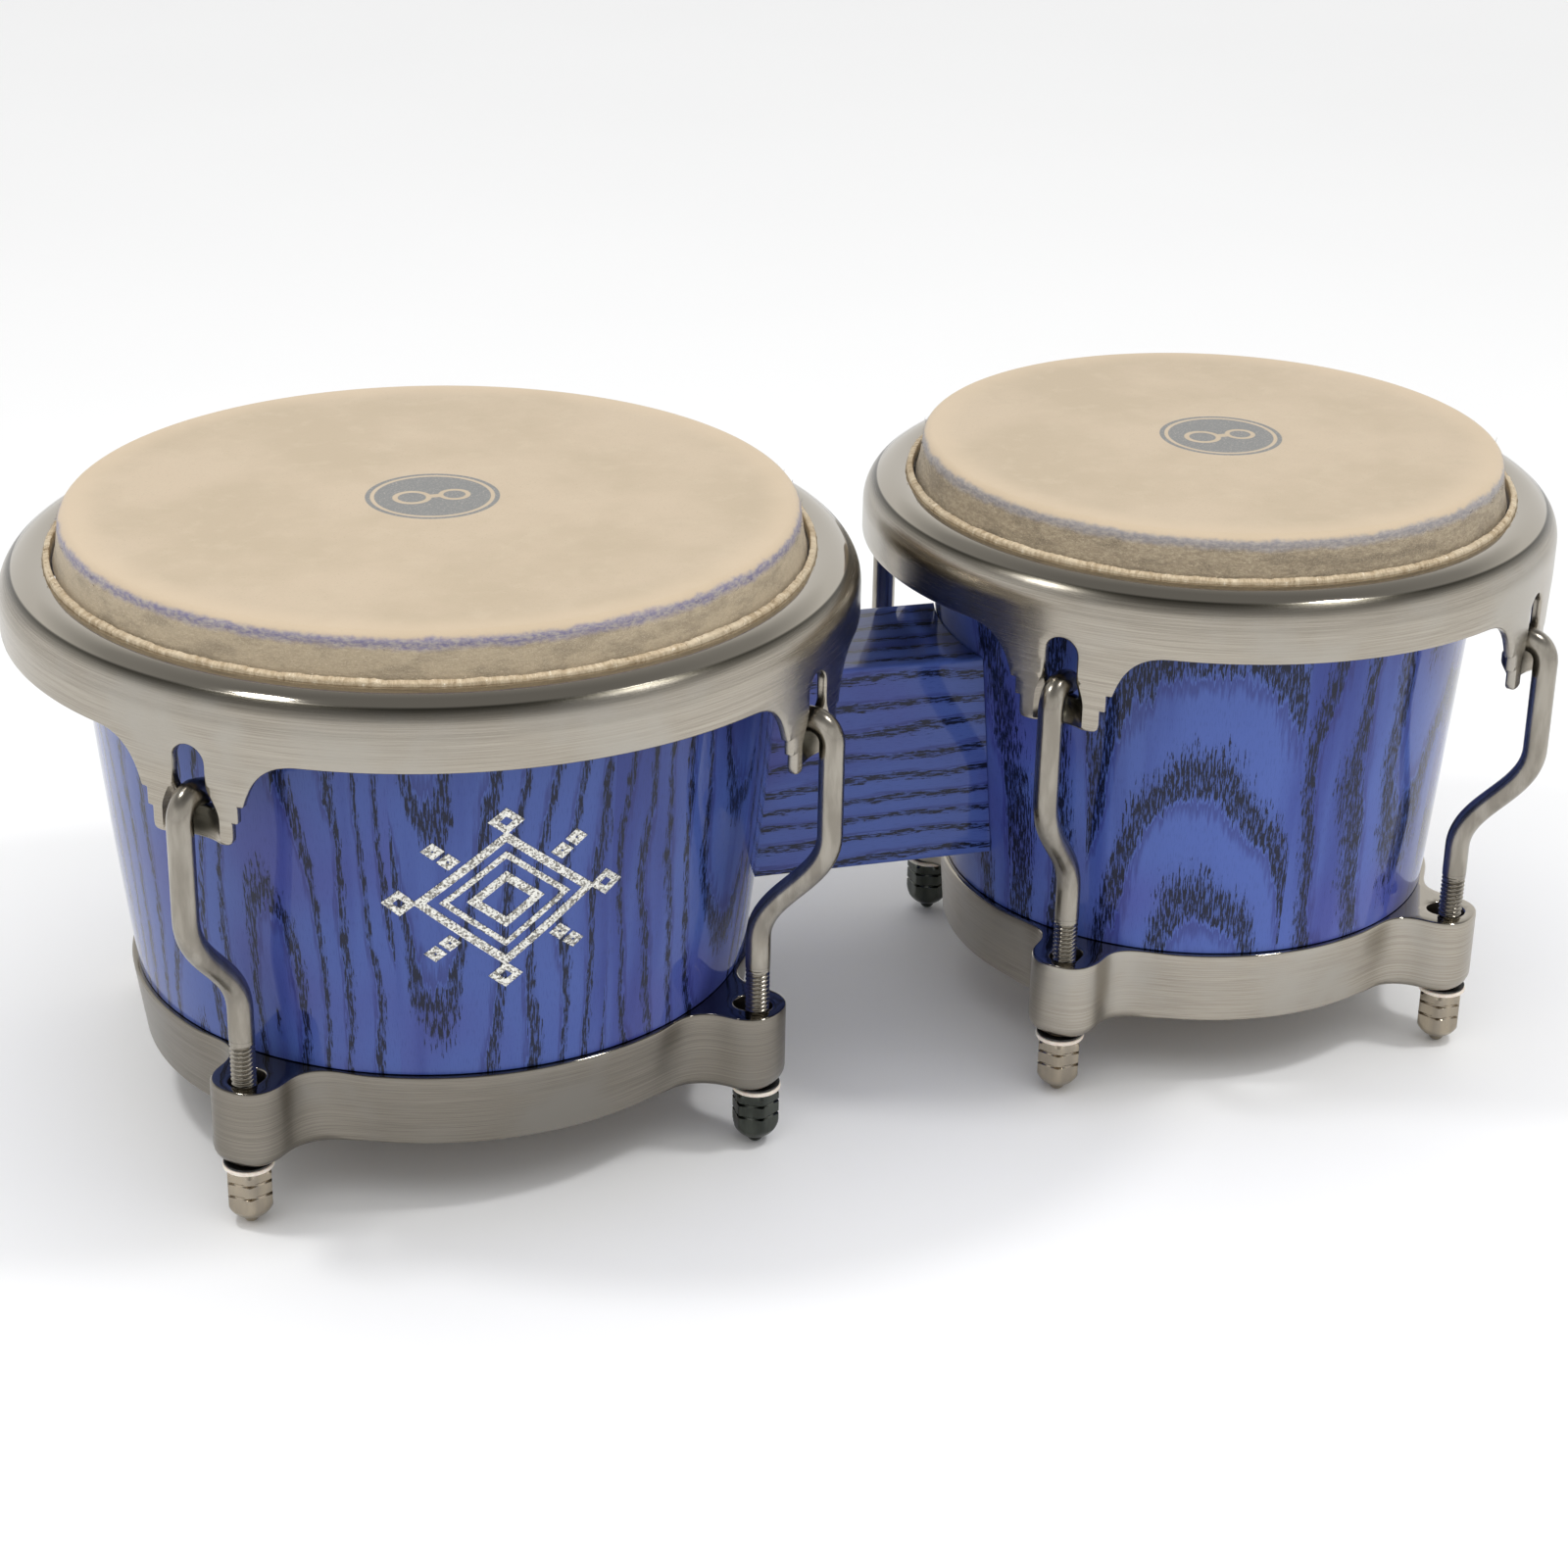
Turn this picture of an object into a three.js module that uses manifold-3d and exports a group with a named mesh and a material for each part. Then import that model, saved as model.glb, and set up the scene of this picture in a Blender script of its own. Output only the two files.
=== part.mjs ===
// A pair of bongo drums: a large and a small tapered wooden drum joined by a centre block.
// Each skin is pulled over its shell by a formed steel rim, four hook rods and a cast bottom ring.
// Millimetres, +Z up, X from the large drum to the small one, origin under the middle of the box.
import * as THREE from 'three';
import { mergeVertices } from 'three/addons/utils/BufferGeometryUtils.js';
import Module from 'manifold-3d';

const wasm = await Module();
wasm.setup();

// ---------- driving dimensions ----------
const SEGMENTS = 32;              // facets around a drum
const GAP = 0.3;                  // clearance between pieces that touch
const SPACING = 249.5;             // between the two drum axes
const LUG_ANGLES = [45, 135, 225, 315];
const LUG_NAMES = ['rear_right', 'rear_left', 'front_left', 'front_right'];

const DRUMS = [
  { name: 'large', headRadius: 109.5, shellBottomRadius: 92.3, bulge: 1.4, twist: 3, rodFromRing: 16.6 },
  { name: 'small', headRadius: 91.2, shellBottomRadius: 77.4, bulge: 0, twist: 0, rodFromRing: 14.6 },
];

const HEAD_TOP = 190.5;           // playing surface above the nut tips
const SKIN = 1.2;                 // skin thickness
const COLLAR_DROP = 14.5;         // how far the skin comes down outside the shell
const COLLAR_FLARE = 2.2;         // how far it spreads on the way down
const SKIN_SHOULDER = [[0, 3], [0.7, 1], [2.4, 0]];  // inset and drop, outside first

const SHELL_BOTTOM = 26.3;
const SHELL_WALL = 9.5;
const SHELL_EDGE_TOP = HEAD_TOP - SKIN - GAP;
const SHELL_FULL_RADIUS_Z = 184;  // below this the outside is the turned taper
const SHELL_LEVELS = [80, 115, 150];
const BEARING_EDGE = [[0.7, 1.4], [3.2, 0], [6, 0.6], [SHELL_WALL, 4]];  // inset and drop, outside first
const RING_REBATE = 1.5;          // step turned in the shell for the ring

const RING_BOTTOM = 23.2;
const RING_TOP = 47;
const RING_PROUD = 1.7;           // ring outside the shell
const RING_LIP = 7;               // ledge that carries the shell
const RING_EDGE = 0.8;            // softened edges

const EAR_BOTTOM = 21.2;
const EAR_HALF_WIDTH = 11.2;
const EAR_OVERHANG = 8;           // beyond the rod axis
const EAR_CORNER = 7;
const EAR_FILLET = 12;
const EAR_SLOT_WIDTH = 9.2;
const EAR_SLOT_IN = 7.5;          // slot end, inward of the rod axis
const EAR_SLOT_OUT = 4.6;

const RIM_OVERHANG = 18.6;        // rim outside the head radius
const RIM_PLATE = 3;
const RIM_ROLL = 11;              // outer radius of the rolled top
const RIM_ROLL_Z = 166.5;         // centre height of the roll
const RIM_ROLL_END = 105;         // degrees, where the roll stops at the inner edge
const RIM_BAND_BOTTOM = 157;

const TAB_BOTTOM = 131.5;
const TAB_HALF_WIDTH = 13;
const TAB_CORNER = 2;
const TAB_STEP = 1.8;             // width of each of the two square steps beside the tab
const TAB_STEP_TOP = 143.5;
const TAB_STEP_DROP = 5.2;
const TAB_SHOULDER = 33;          // where the ogee meets the band's lower edge
const TAB_OGEE = 21.5;            // control point of the ogee, on the band's lower edge
const TAB_SLOT_WIDTH = 10.4;
const TAB_SLOT_TOP = 159.4;
const TAB_SLOT_BOTTOM = 139.2;
const SCOOP = { half: 8.4, depth: 5.5, drop: 7, wall: 2.6, proud: 0.6 };  // pressed round the slot's foot

const HOOP_RADIAL = 6.6;
const HOOP_BOTTOM = 165.5;
const HOOP_TOP = 172.9;
const HOOP_LIP_TOP = 179.2;       // cut edge of the skin above the hoop
const HOOP_LIP = 1.6;

const ROD_RADIUS = 3.8;
const THREAD_RADIUS = 3.75;
const ROD_END = 9.2;
const THREAD_TOP = 60;
const HOOK = {                    // heights of the S-bend, and the hook rolled over into the slot
  bendStart: 70, bendEnd: 109, ease: 15.5, standOff: 4.8, top: 144.5, roll: 7, reach: 6.5, droop: 1.2,
};

const NUT = { tip: 0, top: 18.7, radius: 7.4, bore: 4.45, floor: 4.6, chamfer: 0.8 };
const NUT_DOME = [[1.6, 0], [2.4, 1], [3, 2.4], [5.6, 4.2], [NUT.radius, 7.6]];  // radius, height above tip
const WASHER_BORE = 4.4;
const NYLON_WASHER = { bottom: 18.9, top: 20.2, radius: 7.6 };
const STEEL_WASHER = { bottom: 20.4, top: 21, radius: 7.3 };

const BLOCK = { halfDepth: 24.5, bottom: 64.5, top: 132.5, chamfer: 1 };
const BOLT_HEIGHTS = [82, 116];
const BOLT = { radius: 3, head: 5.6, headLength: 4.5, reach: 18, washerGap: 1.3 };
const INSERT = { radius: 4.8, length: 14, depth: 2 };
const PLATE = { thickness: 2, halfWidth: 12, bottom: 70, top: 128, clearance: 1.1 };

const INSIDE = 40;                // a radius inside either shell
const BEYOND = 200;               // past everything, for cutting tools

// ---------- materials ----------
const finish = (color, roughness, metalness) =>
  new THREE.MeshStandardMaterial({ color, roughness, metalness });
const BLUE_ASH = finish(0x3a45b0, 0.25, 0);
const DARK_NICKEL = finish(0x8c8c86, 0.35, 1);
const CAST_NICKEL = finish(0x7a7b76, 0.4, 1);
const BRIGHT_ROD = finish(0x94948c, 0.3, 1);
const BLACK_NUT = finish(0x5a5852, 0.3, 1);
const NYLON = finish(0xefe9d6, 0.5, 0);
const STEEL = finish(0x3c3c3a, 0.4, 1);
const RAWHIDE = finish(0xd9c3a0, 0.7, 0);
const BRASS = finish(0xb59a55, 0.35, 1);

// ---------- solids ----------
function solid(geometry) {
  const bare = geometry.clone();
  bare.deleteAttribute('normal');
  bare.deleteAttribute('uv');
  const merged = mergeVertices(bare, 1e-4);
  return new wasm.Manifold(new wasm.Mesh({
    numProp: 3,
    vertProperties: new Float32Array(merged.attributes.position.array),
    triVerts: new Uint32Array(merged.index.array),
  }));
}

function geometryOf(body) {
  const mesh = body.getMesh();
  const geometry = new THREE.BufferGeometry();
  geometry.setAttribute('position', new THREE.BufferAttribute(mesh.vertProperties, 3));
  geometry.setIndex(new THREE.BufferAttribute(mesh.triVerts, 1));
  return geometry;
}

// a turned solid: the profile holds [radius, height] pairs, outside edge first and upwards
function turned(profile, segments = SEGMENTS) {
  const points = profile.map(([r, z]) => new THREE.Vector2(r, z));
  return new THREE.LatheGeometry(points, segments).rotateX(Math.PI / 2);
}

const closed = (profile) => [...profile, profile[0]];

function disc(radius, bottom, top, segments) {
  return turned([[0, bottom], [radius, bottom], [radius, top], [0, top]], segments);
}

function block(x, y, z) {
  const box = new THREE.BoxGeometry(x[1] - x[0], y[1] - y[0], z[1] - z[0]);
  return box.translate((x[0] + x[1]) / 2, (y[0] + y[1]) / 2, (z[0] + z[1]) / 2);
}

// a profile's arc, from one angle to another in degrees
function arc(r, z, radius, from, to, steps) {
  return Array.from({ length: steps + 1 }, (_, i) => {
    const a = THREE.MathUtils.degToRad(from + (to - from) * i / steps);
    return [r + radius * Math.cos(a), z + radius * Math.sin(a)];
  });
}

const turnZ = (geometry, degrees) => geometry.rotateZ(THREE.MathUtils.degToRad(degrees));

// ---------- one drum's own radii ----------
const shellTopRadius = (drum) => drum.headRadius - SKIN - GAP;

function shellRadius(drum, z) {
  const t = (z - SHELL_BOTTOM) / (SHELL_FULL_RADIUS_Z - SHELL_BOTTOM);
  const chord = THREE.MathUtils.lerp(drum.shellBottomRadius, shellTopRadius(drum), t);
  return chord + drum.bulge * 4 * t * (1 - t);
}

const rimRadius = (drum) => drum.headRadius + RIM_OVERHANG;
const ringRadius = (drum, z) => shellRadius(drum, z) + RING_PROUD;
const rodRadius = (drum) => ringRadius(drum, RING_BOTTOM) + drum.rodFromRing;
const lugAngles = (drum) => LUG_ANGLES.map((angle) => angle + drum.twist);

// the box runs from the large rim's outer side to the small rim's
const [LARGE, SMALL] = DRUMS;
LARGE.x = (rimRadius(LARGE) - rimRadius(SMALL) - SPACING) / 2;
SMALL.x = LARGE.x + SPACING;
LARGE.blockSide = 1;
SMALL.blockSide = -1;

// ---------- sub-parts, each about its own drum's axis ----------
function shellOutside(drum, grow = 0) {
  const levels = [RING_TOP + GAP, ...SHELL_LEVELS, SHELL_FULL_RADIUS_Z];
  return levels.map((z) => [shellRadius(drum, z) + grow, z]);
}

function shellGeometry(drum) {
  const top = shellTopRadius(drum);
  const bottom = drum.shellBottomRadius - RING_REBATE;
  const profile = [
    [bottom, SHELL_BOTTOM],
    [shellRadius(drum, RING_TOP) - RING_REBATE, RING_TOP + GAP],
    ...shellOutside(drum),
    ...BEARING_EDGE.map(([inset, drop]) => [top - inset, SHELL_EDGE_TOP - drop]),
    [shellRadius(drum, SHELL_LEVELS[1]) - SHELL_WALL, SHELL_LEVELS[1]],
    [drum.shellBottomRadius - SHELL_WALL, SHELL_BOTTOM],
  ];
  const holes = BOLT_HEIGHTS.map((z) => solid(boltHole(drum, BOLT.radius + GAP, BEYOND, z)));
  return geometryOf(holes.reduce((body, hole) => body.subtract(hole), solid(turned(closed(profile)))));
}

// a cylinder along the block bolts, between two distances from the drum's axis
function boltAxis(drum, radius, from, to, z, sides = 12) {
  const rod = new THREE.CylinderGeometry(radius, radius, to - from, sides).rotateZ(Math.PI / 2);
  return rod.translate(drum.blockSide * (from + to) / 2, 0, z);
}

// a round hole along the block bolts, from inside the shell out to a distance from the drum's axis
function boltHole(drum, radius, to, z) {
  return boltAxis(drum, radius, INSIDE, to, z);
}

function skinGeometry(drum) {
  const edge = drum.headRadius;
  const foot = HEAD_TOP - COLLAR_DROP;
  const under = HEAD_TOP - SKIN;
  return turned([
    [0, under],
    [edge - 2.5 * SKIN, under],
    [edge - SKIN, under - SKIN],
    [edge + COLLAR_FLARE - SKIN, foot],
    [edge + COLLAR_FLARE, foot],
    ...SKIN_SHOULDER.map(([inset, drop]) => [edge - inset, HEAD_TOP - drop]),
    [0, HEAD_TOP],
  ]);
}

function fleshHoopGeometry(drum) {
  const inner = drum.headRadius + COLLAR_FLARE + GAP * 2;
  return turned(closed([
    [inner + HOOP_RADIAL - 1, HOOP_BOTTOM],
    [inner + HOOP_RADIAL, HOOP_BOTTOM + 3],
    [inner + HOOP_RADIAL - 0.8, HOOP_TOP],
    [inner + HOOP_LIP, HOOP_TOP],
    [inner + HOOP_LIP, HOOP_LIP_TOP - 0.8],
    [inner + 0.6, HOOP_LIP_TOP],
    [inner, HOOP_LIP_TOP - 1],
    [inner, HOOP_BOTTOM],
  ]));
}

// outline of the rim seen along one lug: everything above the band's edge, and the stepped tab
function tabOutline() {
  const widths = [2, 1, 0].map((step) => -TAB_HALF_WIDTH - step * TAB_STEP);
  const secondStep = TAB_STEP_TOP - TAB_STEP_DROP;
  const outline = new THREE.Shape();
  outline.moveTo(-BEYOND, BEYOND);
  outline.lineTo(-BEYOND, RIM_BAND_BOTTOM);
  outline.lineTo(-TAB_SHOULDER, RIM_BAND_BOTTOM);
  outline.quadraticCurveTo(-TAB_OGEE, RIM_BAND_BOTTOM, widths[0], TAB_STEP_TOP);
  outline.lineTo(widths[1], TAB_STEP_TOP);
  outline.lineTo(widths[1], secondStep);
  outline.lineTo(widths[2], secondStep);
  outline.lineTo(widths[2], TAB_BOTTOM + TAB_CORNER);
  outline.lineTo(widths[2] + TAB_CORNER, TAB_BOTTOM);
  const left = outline.getPoints(3);
  const right = left.map((p) => new THREE.Vector2(-p.x, p.y)).reverse();
  return new THREE.Shape([...left, ...right]);
}

// extrudes an outline drawn as (sideways, height) outwards along +X, between two radii
function radialExtrusion(shape, from, to) {
  const geometry = new THREE.ExtrudeGeometry(shape, { depth: to - from, bevelEnabled: false });
  return geometry.rotateX(Math.PI / 2).rotateZ(Math.PI / 2).translate(from, 0, 0);
}

function ellipsoid(centre, half) {
  return new THREE.SphereGeometry(1, 8, 6).rotateX(Math.PI / 2).scale(...half).translate(...centre);
}

function rimGeometry(drum) {
  const outer = rimRadius(drum);
  const centre = outer - RIM_ROLL;
  const profile = closed([
    [outer, TAB_BOTTOM - 1],
    ...arc(centre, RIM_ROLL_Z, RIM_ROLL, 0, RIM_ROLL_END, 4),
    ...arc(centre, RIM_ROLL_Z, RIM_ROLL - RIM_PLATE, RIM_ROLL_END, 0, 3),
    [outer - RIM_PLATE, TAB_BOTTOM - 1],
  ]);
  const lugs = lugAngles(drum).map((angle) => {
    const keep = solid(turnZ(radialExtrusion(tabOutline(), INSIDE, BEYOND), angle));
    const at = [outer + SCOOP.proud, 0, TAB_SLOT_BOTTOM - 1];
    const dish = [SCOOP.depth, SCOOP.half, SCOOP.drop];
    const boss = ellipsoid(at, dish.map((half) => half + SCOOP.wall));
    const depth = [outer - SCOOP.depth - SCOOP.wall - 1, outer - SCOOP.proud];
    const width = [-TAB_SHOULDER, TAB_SHOULDER];
    const reach = block(depth, width, [TAB_BOTTOM + SCOOP.proud, TAB_SLOT_BOTTOM + 1]);
    const arch = TAB_SLOT_TOP - TAB_SLOT_WIDTH / 2;
    const half = TAB_SLOT_WIDTH / 2;
    const slotShape = new THREE.Shape();
    slotShape.moveTo(-half, TAB_SLOT_BOTTOM);
    slotShape.lineTo(half, TAB_SLOT_BOTTOM);
    slotShape.lineTo(half, arch);
    slotShape.absarc(0, arch, half, 0, Math.PI, false);
    const slot = new THREE.ExtrudeGeometry(slotShape, { depth: 20, bevelEnabled: false, curveSegments: 5 });
    slot.rotateX(Math.PI / 2).rotateZ(Math.PI / 2).translate(depth[0] - 1, 0, 0);
    return {
      keep,
      boss: solid(turnZ(boss, angle)).intersect(solid(turnZ(reach, angle))),
      cut: solid(turnZ(ellipsoid(at, dish), angle)).add(solid(turnZ(slot, angle))),
    };
  });
  const outline = lugs.map((lug) => lug.keep).reduce((a, b) => a.add(b));
  const band = solid(turned(profile)).intersect(outline);
  return geometryOf(lugs.reduce((body, lug) => body.add(lug.boss).subtract(lug.cut), band));
}

// plan of one ear, pointing along +X, with fillets that run out on the ring
function earPlan(drum) {
  const ring = ringRadius(drum, RING_BOTTOM);
  const rod = rodRadius(drum);
  const tip = rod + EAR_OVERHANG;
  const run = EAR_HALF_WIDTH + EAR_FILLET;
  const inner = ring - 1.2;
  const wing = Math.sqrt(inner * inner - run * run);
  const half = EAR_HALF_WIDTH;
  const plan = new THREE.Shape();
  plan.moveTo(wing, -run);
  plan.quadraticCurveTo(ring + 1, -half - 2, rod - 4, -half);
  plan.lineTo(tip - EAR_CORNER, -half);
  plan.quadraticCurveTo(tip, -half, tip, -half + EAR_CORNER);
  plan.lineTo(tip, half - EAR_CORNER);
  plan.quadraticCurveTo(tip, half, tip - EAR_CORNER, half);
  plan.lineTo(rod - 4, half);
  plan.quadraticCurveTo(ring + 1, half + 2, wing, run);
  const back = Math.atan2(run, wing);
  plan.absarc(0, 0, inner, back, -back, true);
  return plan;
}

// the ear seen from outside: its lower edge rises on both sides to the ring's lower edge
function earElevation() {
  const side = EAR_HALF_WIDTH + EAR_FILLET + 2;
  const points = [[-side, RING_TOP], [-side, RING_BOTTOM], [-EAR_HALF_WIDTH - 2, EAR_BOTTOM + RING_EDGE],
    [-EAR_HALF_WIDTH + 3, EAR_BOTTOM]];
  const mirrored = points.map(([x, z]) => [-x, z]).reverse();
  return new THREE.Shape([...points, ...mirrored].map(([x, z]) => new THREE.Vector2(x, z)));
}

function earSlotPlan(drum) {
  const rod = rodRadius(drum);
  const half = EAR_SLOT_WIDTH / 2;
  const plan = new THREE.Shape();
  plan.absarc(rod + EAR_SLOT_OUT - half, 0, half, -Math.PI / 2, Math.PI / 2, false);
  plan.absarc(rod - EAR_SLOT_IN + half, 0, half, Math.PI / 2, 3 * Math.PI / 2, false);
  return plan;
}

function extrudedZ(shape, bottom, top, curveSegments) {
  const options = { depth: top - bottom, bevelEnabled: false, curveSegments };
  return new THREE.ExtrudeGeometry(shape, options).translate(0, 0, bottom);
}

function bottomRingGeometry(drum) {
  const seat = (z) => shellRadius(drum, z) - RING_REBATE + GAP;
  const bore = drum.shellBottomRadius - RING_LIP;
  const profile = closed([
    [ringRadius(drum, RING_BOTTOM) - RING_EDGE, RING_BOTTOM],
    [ringRadius(drum, RING_BOTTOM), RING_BOTTOM + RING_EDGE],
    [ringRadius(drum, RING_TOP), RING_TOP - RING_EDGE],
    [ringRadius(drum, RING_TOP) - RING_EDGE, RING_TOP],
    [seat(RING_TOP), RING_TOP],
    [seat(SHELL_BOTTOM), SHELL_BOTTOM - GAP],
    [bore, SHELL_BOTTOM - GAP],
    [bore, RING_BOTTOM],
  ]);
  let ring = solid(turned(profile));
  for (const angle of lugAngles(drum)) {
    const plan = solid(turnZ(extrudedZ(earPlan(drum), EAR_BOTTOM - 1, RING_TOP, 3), angle));
    const ear = plan.intersect(solid(turnZ(radialExtrusion(earElevation(), INSIDE, BEYOND), angle)));
    const slot = solid(turnZ(extrudedZ(earSlotPlan(drum), EAR_BOTTOM - 1, RING_TOP + 1, 5), angle));
    ring = ring.add(ear).subtract(slot);
  }
  const seatCut = turned([[0, SHELL_BOTTOM - GAP], [seat(SHELL_BOTTOM), SHELL_BOTTOM - GAP],
    [seat(RING_TOP), RING_TOP], [0, RING_TOP]]);
  const boreCut = disc(bore, EAR_BOTTOM - 1, RING_TOP, SEGMENTS);
  return geometryOf(ring.subtract(solid(seatCut)).subtract(solid(boreCut)));
}

// centre line of a hook above its thread, in the plane of the lug: straight, S-bend, straight, hook
function hookPath(drum) {
  const foot = rodRadius(drum);
  const high = rimRadius(drum) + HOOK.standOff;
  const at = (r, z) => new THREE.Vector3(r, 0, z);
  const path = new THREE.CurvePath();
  path.add(new THREE.LineCurve3(at(foot, THREAD_TOP), at(foot, HOOK.bendStart)));
  path.add(new THREE.CubicBezierCurve3(at(foot, HOOK.bendStart), at(foot, HOOK.bendStart + HOOK.ease),
    at(high, HOOK.bendEnd - HOOK.ease), at(high, HOOK.bendEnd)));
  const turn = HOOK.top - HOOK.roll;
  path.add(new THREE.LineCurve3(at(high, HOOK.bendEnd), at(high, turn)));
  path.add(new THREE.CubicBezierCurve3(at(high, turn), at(high, turn + HOOK.roll * 0.6),
    at(high - HOOK.roll * 0.4, HOOK.top), at(high - HOOK.roll, HOOK.top)));
  path.add(new THREE.LineCurve3(at(high - HOOK.roll, HOOK.top),
    at(rimRadius(drum) - HOOK.reach, HOOK.top - HOOK.droop)));
  return path;
}

function hookGeometry(drum) {
  const octagon = arc(0, 0, ROD_RADIUS, 22.5, 337.5, 7).map(([x, y]) => new THREE.Vector2(x, y));
  const options = { steps: 17, bevelEnabled: false, extrudePath: hookPath(drum) };
  const upper = new THREE.ExtrudeGeometry(new THREE.Shape(octagon), options);
  const thread = disc(THREAD_RADIUS, ROD_END, THREAD_TOP + 2, 8).translate(rodRadius(drum), 0, 0);
  return geometryOf(solid(upper).add(solid(thread)));
}

function nutGeometry() {
  const { tip, top, radius, bore, floor, chamfer } = NUT;
  const dome = NUT_DOME.map(([r, height]) => [r, tip + height]);
  return turned([[0, tip], ...dome, [radius, top - chamfer], [radius - chamfer, top],
    [bore, top], [bore, floor], [0, floor]], 6);
}

function washerGeometry(washer, sides = 8) {
  return turned(closed([[washer.radius, washer.bottom], [washer.radius, washer.top],
    [WASHER_BORE, washer.top], [WASHER_BORE, washer.bottom]]), sides);
}

const plateOutside = (drum, z) => shellRadius(drum, z) - SHELL_WALL - PLATE.clearance;

function backingPlateGeometry(drum) {
  const outer = (z) => plateOutside(drum, z);
  const wall = turned(closed([[outer(PLATE.bottom), PLATE.bottom], [outer(PLATE.top), PLATE.top],
    [outer(PLATE.top) - PLATE.thickness, PLATE.top], [outer(PLATE.bottom) - PLATE.thickness, PLATE.bottom]]));
  const side = drum.blockSide > 0 ? [INSIDE, BEYOND] : [-BEYOND, -INSIDE];
  let plate = solid(wall).intersect(solid(block(side, [-PLATE.halfWidth, PLATE.halfWidth], [0, BEYOND])));
  for (const z of BOLT_HEIGHTS) {
    plate = plate.subtract(solid(boltHole(drum, BOLT.radius + GAP, BEYOND, z)));
  }
  return geometryOf(plate);
}

function blockBoltGeometry(drum, z) {
  const seat = plateOutside(drum, z) - PLATE.thickness - BOLT.washerGap;
  const end = shellRadius(drum, z) + BOLT.reach;
  const head = boltAxis(drum, BOLT.head, seat - BOLT.headLength, seat, z, 6);
  const shank = boltAxis(drum, BOLT.radius, seat - 1, end, z, 10);
  return geometryOf(solid(head).add(solid(shank)));
}

function insertGeometry(drum, z) {
  const start = shellRadius(drum, z) + INSERT.depth;
  const body = solid(boltAxis(drum, INSERT.radius, start, start + INSERT.length, z, 10));
  return geometryOf(body.subtract(solid(boltHole(drum, BOLT.radius + GAP, BEYOND, z))));
}

function centreBlockGeometry() {
  const { halfDepth, bottom, top, chamfer } = BLOCK;
  const section = new THREE.Shape();
  section.moveTo(-halfDepth + chamfer, bottom);
  section.lineTo(halfDepth - chamfer, bottom);
  section.lineTo(halfDepth, bottom + chamfer);
  section.lineTo(halfDepth, top - chamfer);
  section.lineTo(halfDepth - chamfer, top);
  section.lineTo(-halfDepth + chamfer, top);
  section.lineTo(-halfDepth, top - chamfer);
  section.lineTo(-halfDepth, bottom + chamfer);
  let body = solid(radialExtrusion(section, LARGE.x + INSIDE, SMALL.x - INSIDE));
  for (const drum of DRUMS) {
    const outside = [[0, RING_TOP], [shellRadius(drum, RING_TOP) + GAP, RING_TOP],
      ...shellOutside(drum, GAP), [0, SHELL_FULL_RADIUS_Z]];
    body = body.subtract(solid(turned(outside).translate(drum.x, 0, 0)));
    for (const z of BOLT_HEIGHTS) {
      const insertEnd = shellRadius(drum, z) + INSERT.depth + INSERT.length + GAP;
      const insertRoom = boltHole(drum, INSERT.radius + GAP, insertEnd, z);
      const boltRoom = boltHole(drum, BOLT.radius + GAP, shellRadius(drum, z) + BOLT.reach + 1, z);
      body = body.subtract(solid(insertRoom.translate(drum.x, 0, 0)));
      body = body.subtract(solid(boltRoom.translate(drum.x, 0, 0)));
    }
  }
  return geometryOf(body);
}

// ---------- assembly ----------
const bongos = new THREE.Group();

function place(parent, name, geometry, material) {
  const mesh = new THREE.Mesh(geometry, material);
  mesh.name = name;
  parent.add(mesh);
  return mesh;
}

for (const drum of DRUMS) {
  const group = new THREE.Group();
  group.position.x = drum.x;
  bongos.add(group);
  const own = (piece) => `${drum.name}_${piece}`;
  place(group, own('shell'), shellGeometry(drum), BLUE_ASH);
  place(group, own('head_skin'), skinGeometry(drum), RAWHIDE);
  place(group, own('flesh_hoop'), fleshHoopGeometry(drum), RAWHIDE);
  place(group, own('rim'), rimGeometry(drum), DARK_NICKEL);
  place(group, own('bottom_ring'), bottomRingGeometry(drum), CAST_NICKEL);
  place(group, own('backing_plate'), backingPlateGeometry(drum), STEEL);
  BOLT_HEIGHTS.forEach((z, i) => {
    const level = ['lower', 'upper'][i];
    place(group, own(`block_bolt_${level}`), blockBoltGeometry(drum, z), STEEL);
    place(group, own(`block_insert_${level}`), insertGeometry(drum, z), BRASS);
  });
  lugAngles(drum).forEach((angle, i) => {
    const lug = new THREE.Group();
    lug.rotation.z = THREE.MathUtils.degToRad(angle);
    group.add(lug);
    const axis = new THREE.Group();
    axis.position.x = rodRadius(drum);
    lug.add(axis);
    place(lug, own(`hook_${LUG_NAMES[i]}`), hookGeometry(drum), BRIGHT_ROD);
    place(axis, own(`nut_${LUG_NAMES[i]}`), nutGeometry(), BLACK_NUT);
    place(axis, own(`nylon_washer_${LUG_NAMES[i]}`), washerGeometry(NYLON_WASHER), NYLON);
    place(axis, own(`steel_washer_${LUG_NAMES[i]}`), washerGeometry(STEEL_WASHER), STEEL);
  });
}
place(bongos, 'centre_block', centreBlockGeometry(), BLUE_ASH);

export default bongos;
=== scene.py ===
import math
import random

import bmesh
import bpy
import numpy as np
from mathutils import Matrix, Vector
from mathutils.geometry import delaunay_2d_cdt


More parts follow.
